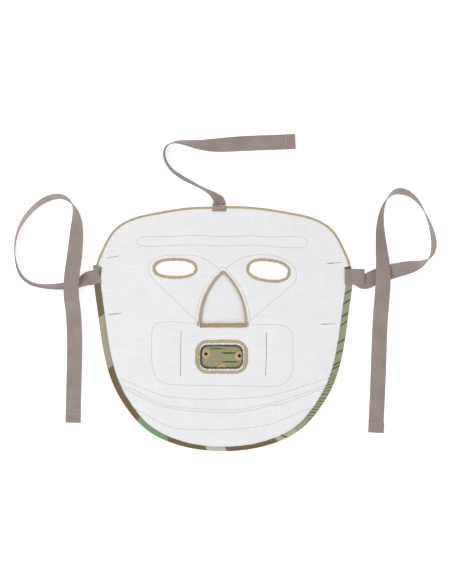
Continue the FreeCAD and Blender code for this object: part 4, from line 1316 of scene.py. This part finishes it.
def cover_half(node, name, half, finish):
    """One half of a layer of the cover; half is -1 for the left one and 1 for the right one."""
    bm, area = layer(node, 2.5, half=half, middle=NOSE_X)
    top, bottom = level(node), level(node, False)
    for vert in bm.verts:
        x, y, z = (value / MM for value in vert.co)
        across = min(1.0, abs(x - NOSE_X) / (NOSE_HALF - 1))
        up = (y - NOSE_FOOT) / COVER_SWELL_TOP
        dome = max(0.0, 1 - across ** 2) * max(0.0, min(1.0, up * 6)) * max(0.0, 1 - up ** 3 * 1.1)
        wrinkle = 0.25 * noise.noise((x / 7, y / 16, 2.0)) * dome
        if node == "nose_cover_lining" and abs(z - top) < 0.02:
            vert.co.z += (dome * COVER_SWELL + wrinkle) * MM
        if node == "nose_cover_shell" and abs(z - bottom) < 0.02:
            vert.co.z += (0.12 + 0.1 * noise.noise((x / 9, y / 9, 5))) * MM
    piece = shown(name, bm, finish)
    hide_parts(node)
    start = mm(NOSE_X + half * (NOSE_HALF + COVER_SEAM_OUT), NOSE_FOOT - COVER_SEAM_DOWN)
    seam = (mm(NOSE_X, NOSE_FOOT + COVER_SEAM_TOP) - start).normalized()
    inward = Vector((seam.y, -seam.x, 0))
    if inward.x * half > 0:
        inward = -inward
    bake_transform(piece)


for half, side in HALVES:
    cover_half("nose_cover_lining", "nose_cover_lining_" + side, half, white_lining)
    cover_half("nose_cover_shell", "nose_cover_cloth_" + side, half, outer_camouflage)

# %% [markdown]
# ## The mouth flap
# A double flap of the print hangs outside the mouth, held by its two side seams, with
# three sewn eyelets to breathe through. It can bow outward in the middle. It is made
# in two halves that meet on the middle line.

# %% Mouth flap
FLAP_MIDDLE = 0.0


def bow(piece, half):
    """Fix a piece of one half of the flap where it lies."""
    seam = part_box("mouth_flap_outer_ply")[0 if half < 0 else 1][0] / MM - half * 4.0
    mm(seam, 0)
    mm(FLAP_MIDDLE, 0)
    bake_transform(piece)


for ply in ("inner", "outer"):
    node = "mouth_flap_%s_ply" % ply
    for half, side in HALVES:
        bm, area = layer(node, 3.0, half=half, middle=FLAP_MIDDLE)
        for vert in bm.verts:
            x, y, z = (value / MM for value in vert.co)
            if abs(z - FLAP_TOP) < 0.02:
                vert.co.z += (0.16 * noise.noise((x / 8, y / 6, 3.0)) - 0.05) * MM
            if abs(z) < 0.02:
                vert.co.z += (0.10 + 0.1 * noise.noise((x / 9, y / 9, 5))) * MM
        flap = shown("mouth_flap_%s_%s" % (ply, side), bm, flap_camouflage)
        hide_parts(node)
        bow(flap, half)

# %% [markdown]
# An eyelet is a ring of radial stitches round a small hole. Under each hole lies a dark
# disc of painted shade, which stands in for the shadow seen through the hole.

# %% Eyelets
EYELETS = {"left": (-17.9, -26.2), "right": (17.0, -28.1), "middle": (-1.1, -41.7)}
EYELET_HOLE, EYELET_RIM = 1.75, 4.9  # radii
HOLE_SHADE_SIDES = 24
pale_satin = satin_paint("pale_satin", shade(150, 124, 88), shade(216, 194, 156))


# Painted shade: a dark colour that stands in for the shadow seen through an eyelet hole.
def hole_shade_paint():
    paint = Paint("painted_hole_shade", Specular_IOR_Level=0.1, Roughness=0.95)
    x, y, _ = paint.place()
    mesh = weave_relief(paint, x, y)
    return paint.finish(paint.mix(mesh, shade(22, 24, 24), shade(60, 62, 56)), relief=mesh)


painted_hole_shade = hole_shade_paint()
for side, (x, y) in EYELETS.items():
    circle = [(x + EYELET_HOLE * math.cos(a), y + EYELET_HOLE * math.sin(a))
              for a in np.linspace(0, 2 * math.pi, 40, endpoint=False)]
    rim = EYELET_RIM - EYELET_HOLE
    section = [(0.0, 0.3), (0.0, 1.3), (0.4, 1.75), (1.2, 1.95), (2.2, 1.85), (rim - 0.15, 1.6), (rim, 1.3),
               (rim, 0.2), (rim - 0.3, 0.0), (0.4, 0.0)]
    ring = satin("mouth_eyelet_" + side, Line(circle, closed=True), section, pale_satin, pitch=0.52,
                 ridge=0.14, ragged=0.25)
    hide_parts("mouth_flap_eyelets")
    bow(ring, -1 if side != "right" else 1)
    # A dark disc under the hole, as painted shade.
    bm = bmesh.new()
    bmesh.ops.create_circle(bm, cap_ends=True, segments=HOLE_SHADE_SIDES, radius=(EYELET_HOLE + 0.4) * MM,
                            matrix=Matrix.Translation(mm(x, y, 0.35)))
    bmesh.ops.extrude_face_region(bm, geom=bm.faces[:])
    bmesh.ops.translate(bm, verts=bm.verts[HOLE_SHADE_SIDES:], vec=mm(0, 0, 0.2))
    bmesh.ops.recalc_face_normals(bm, faces=bm.faces)
    hole_shade_disc = shown("mouth_gauze_" + side, bm, painted_hole_shade)
    bow(hole_shade_disc, -1 if side != "right" else 1)

# %% [markdown]
# Between the lining's clean edge and the flap, the raw edge of the print frays: short
# dark threads stand inward all round the mouth. Their near-black colour, and the extra
# threads at the top right and down the left side, are painted shadow of the recess.
# A few loose ends of tan thread and white nap stick out of the eye edges as well.

# %% Frayed edges
def fray(bm, line, count, shortest, longest, height, wide=0.3, inward=1.0, part=(0.0, 1.0), lean=0.5):
    """Loose threads along a part of a line; inward is negative for threads that point out."""
    for k in range(count):
        s = line.long * (part[0] + (part[1] - part[0]) * (k + random.random()) / count)
        x, y, tx, ty = line.at(s)
        long = random.uniform(shortest, longest)
        side = random.uniform(-lean, lean)
        way = Vector((-ty * inward + tx * side, tx * inward + ty * side,
                      random.uniform(-0.25, 0.05))).normalized()
        spot = mm(x, y, height + random.uniform(-0.15, 0.15)) + way * long * 0.5 * MM
        stitch(bm, spot, way, Vector((0, 0, 1)), long, wide, wide)


# Fraying and painted shadow at once: these threads are near black, darker than the print.
raw_edge_threads_and_shade = thread_paint("raw_print_threads", shade(30, 32, 26), shade(84, 84, 62))
bm = bmesh.new()
raw_and_shaded_edge, clean_edge = (Line(mouth_places(grow), closed=True) for grow in (-0.2, 0.1))
fray(bm, raw_and_shaded_edge, 330, 0.9, 2.0, LINING_UNDER + 0.05, wide=0.5)
fray(bm, raw_and_shaded_edge, 120, 1.2, 2.6, LINING_UNDER - 0.1, wide=0.4, lean=1.2)
# Extra threads at the top right and down the left side: painted shadow of the recess.
for part in ((0.30, 0.62), (0.02, 0.20)):
    fray(bm, raw_and_shaded_edge, 60, 1.6, 3.0, LINING_UNDER + 0.1, wide=0.5, part=part, lean=1.5)
fray(bm, clean_edge, 60, 0.8, 1.7, LINING_TOP + 0.1, wide=0.5, inward=-0.6, lean=1.8)
frayed = shown("mouth_raw_edge_and_painted_shade", bm, raw_edge_threads_and_shade)
on_panel(frayed)

bm = bmesh.new()
fray(bm, Line(mouth_places(0.3), closed=True), 150, 0.5, 1.2, LINING_TOP - 0.35, wide=0.34)
for side, line in eye_lines.items():
    fray(bm, line, 46 if side == "left" else 90, 0.5, 1.5, LINING_TOP - 1.0, wide=0.22)
nap = shown("lining_nap_ends", bm, white_lining)
on_panel(nap)

bm = bmesh.new()
for side, line in eye_lines.items():
    fray(bm, line, 90, 0.7, 1.5, LINING_TOP + 0.2, wide=0.34, inward=0.8, lean=1.0)
    fray(bm, Line(line.places(0.5), closed=True), 26, 0.8, 1.6, LINING_TOP + 0.7, wide=0.3, inward=-0.3,
         part=(0.1, 0.42), lean=1.6)
loose_ends = shown("eye_edge_loose_ends", bm, tan_thread)
on_panel(loose_ends)

# %% [markdown]
# ## Tabs and keepers
# The sewn root of each tie is a short flat tab on the panel. On the outside of the
# mask, two loops of the same tape take a goggle strap. Both are ribbons, as the ties
# are, only short and nearly straight.

# %% Tabs
def straight(points, across):
    """A ribbon along a few points, with one direction across it."""
    return ribbon([mm(*p) for p in points], [Vector(across)] * len(points))


# The left tab was sewn on askew: its line drops this much for each millimetre outward,
# and its inner end stops short of the model's by this share of its length.
TAB_SLOPE = 0.2
TAB_SHORTER = 0.22
TAB_ROW_HALF = {"side": 6.6, "top": 6.4}
TAB_ROWS = {}
for side in TIES:
    low, high = (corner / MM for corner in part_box("strap_tab_" + side))
    middle_y, top = (low.y + high.y) / 2, high.z - TAPE / 2
    tuck = ROOT_WIDTH[side] / TAPE_WIDTH
    if side == "top":
        x = (low.x + high.x) / 2
        run = [(x, low.y + 0.8, top - 0.25), (x, low.y + 2.0, top - 0.05),
               (x, high.y - 2.5, top + 0.1), (x, high.y, top)]
        across, half = (1.0, 0, 0), TAB_ROW_HALF["top"]
        TAB_ROWS[side] = Line([(x - half, high.y - 2.1), (x + half, high.y - 2.1)])
    else:
        inner, outer = (high.x, low.x) if side == "left" else (low.x, high.x)
        way = 1 if outer > inner else -1
        run = [(inner, middle_y, top - 0.3), (inner + way * 0.9, middle_y, top),
               (inner + way * 4, middle_y, top + 0.12), (outer - way * 1.5, middle_y, top + 0.05),
               (outer, middle_y, top)]
        across, half = (0, 1.0, 0), TAB_ROW_HALF["side"]
        if side == "left":
            run = [(x - (x - outer) * TAB_SHORTER, middle_y + (x - outer) * TAB_SLOPE, z)
                   for x, _, z in run]
            across = Vector((-TAB_SLOPE, 1.0, 0)).normalized()
        row_x = inner + way * 4.4
        TAB_ROWS[side] = Line([(row_x, middle_y - half), (row_x, middle_y + half)])
    tab = shown(side + "_tie_tab", straight(run, Vector(across) * tuck), taupe_tape)
    on_panel(tab, "strap_tab_" + side)

# %% [markdown]
# The binding's cut end sticks out above the left tab: a short, narrow ribbon of its
# greenest scrap. The tabs are held by a row of stitches each, and the top one by a
# slanting row of thick tan thread.

# %% Cut end and tab stitches
CUT_END_WIDTH = 0.28  # as a share of the tape's
CUT_END = [(-135.4, 63.9, 4.9), (-134.0, 64.2, 5.35), (-132.0, 64.3, 5.45), (-129.2, 64.0, 5.3)]
TOP_TAB_STITCHES = 11
green_print = thread_paint("green_print", shade(104, 116, 88), shade(146, 156, 126))
cut_end = shown("binding_cut_end", straight(CUT_END, (0, CUT_END_WIDTH, 0)), green_print)
on_panel(cut_end)

taupe_thread = thread_paint("taupe_thread", shade(112, 98, 94), shade(150, 136, 130))
bm = bmesh.new()
for side in ("left", "right"):
    sew(bm, TAB_ROWS[side], flat_at(level("strap_tab_" + side) + 0.08), wide=0.5)
side_rows = shown("side_tab_thread", bm, taupe_thread)
bm = bmesh.new()
row = TAB_ROWS["top"]
for k in range(TOP_TAB_STITCHES):
    x, y, _, _ = row.at(row.long * (k + 0.5) / TOP_TAB_STITCHES)
    spot = mm(x + random.uniform(-0.3, 0.3), y + random.uniform(-0.5, 0.5), level("strap_tab_top") + 0.35)
    stitch(bm, spot, Vector((0.86, 0.5, 0)), Vector((0, 0, 1)), random.uniform(1.8, 2.7), 0.75, 0.7)
top_row = shown("top_tab_thread", bm, tan_thread)
for piece in (side_rows, top_row):
    on_panel(piece, "strap_tab_stitching")

# %% [markdown]
# The root of the top tie was caught again with darker thread, most of it on the left.
# Their dark colour is partly painted shade, where the tie's root shades the tab.

# %% Top root thread
# Partly painted shade: this thread is darker than any in the seams and stands in for the shade at the tie's
# root.
brown_thread = thread_paint("brown_thread", shade(62, 50, 46), shade(120, 102, 92))
ROOT_STITCHES = 26
root = mm(*TOP_TIE[0][:2])
bm = bmesh.new()
for _ in range(ROOT_STITCHES):
    # A power over 1 draws more of the stitches to the left end.
    x = -7.0 + 13.5 * random.random() ** 1.7
    y = 0.9 + random.random() * 2.0 - 0.05 * x
    spot = root + mm(x * 0.86, y, level("strap_tab_top") + 0.25 - 0.07 * x * y)
    stitch(bm, spot, Vector((0.8, random.uniform(-0.9, 0.9), 0)).normalized(), Vector((0, 0, 1)),
           random.uniform(1.2, 2.2), 0.5, 0.5)
root_thread_and_shade = shown("top_root_thread", bm, brown_thread)
root + mm(0, FOLD_LENGTH)
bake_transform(root_thread_and_shade)

# %% [markdown]
# A goggle keeper lies on the outside of the mask, so it is seen only from below. It is
# one more ribbon: straight between its bars, and turned back on itself at both ends.

# %% Goggle keepers
KEEPER_WIDTH = 14.6
# Round a turned end: how far past the bar of stitches, and how high over the table.
TURNED_END = [(2.6, 1.5), (3.3, 1.3), (3.5, 1.0), (3.3, 0.7), (2.6, 0.5)]
for side, (upper, lower) in BARS.items():
    long = (Vector(upper) - Vector(lower)).length
    way = (Vector(upper) - Vector(lower)).normalized()
    lower_end = [(-past, high) for past, high in TURNED_END]
    upper_end = [(long + past, high) for past, high in reversed(TURNED_END)]
    rise = ([(5.0, 1.5)] + lower_end + [(6.0, 0.5), (long / 2, 0.52), (long - 6.0, 0.5)]
            + upper_end + [(long - 5.0, 1.5)])
    run = [(lower[0] + way.x * s, lower[1] + way.y * s, high) for s, high in rise]
    across = Vector((-way.y, way.x, 0)) * KEEPER_WIDTH / TAPE_WIDTH
    keeper = shown("goggle_keeper_tape_" + side, straight(run, across), taupe_tape)
    on_panel(keeper, "goggle_keeper_" + side, "keeper_end_folds")

# %% [markdown]
# ## What stays as the model has it
# The metal stay in its channel and the band of interlining over the chin seam lie
# between the layers. Their solids are right as they are and only need a finish.

# %% Hidden parts
def plain_metal():
    paint = Paint("stay_metal", Metallic=1.0)
    x, y, z = paint.place()
    brushed = paint.cloud(paint.joined(x * 0.05, y * 2.2, z * 2.2), detail=3.0)
    return paint.finish(paint.mix(brushed, shade(150, 152, 154), shade(196, 198, 200)), 0.32 + brushed * 0.2,
                        brushed, 0.02)


def felt():
    paint = Paint("interlining_felt", Specular_IOR_Level=0.2)
    x, y, z = paint.place()
    fibres = paint.cloud(paint.joined(x, y, z), scale=1.2, detail=5.0)
    return paint.finish(paint.mix(fibres, shade(220, 220, 218), shade(244, 244, 242)), 0.95, fibres, 0.1)


for node, finish in (("forehead_stay", plain_metal()), ("chin_band", felt())):
    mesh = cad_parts[node].data
    mesh.materials.clear()
    mesh.materials.append(finish)

# %% End
low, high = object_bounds()
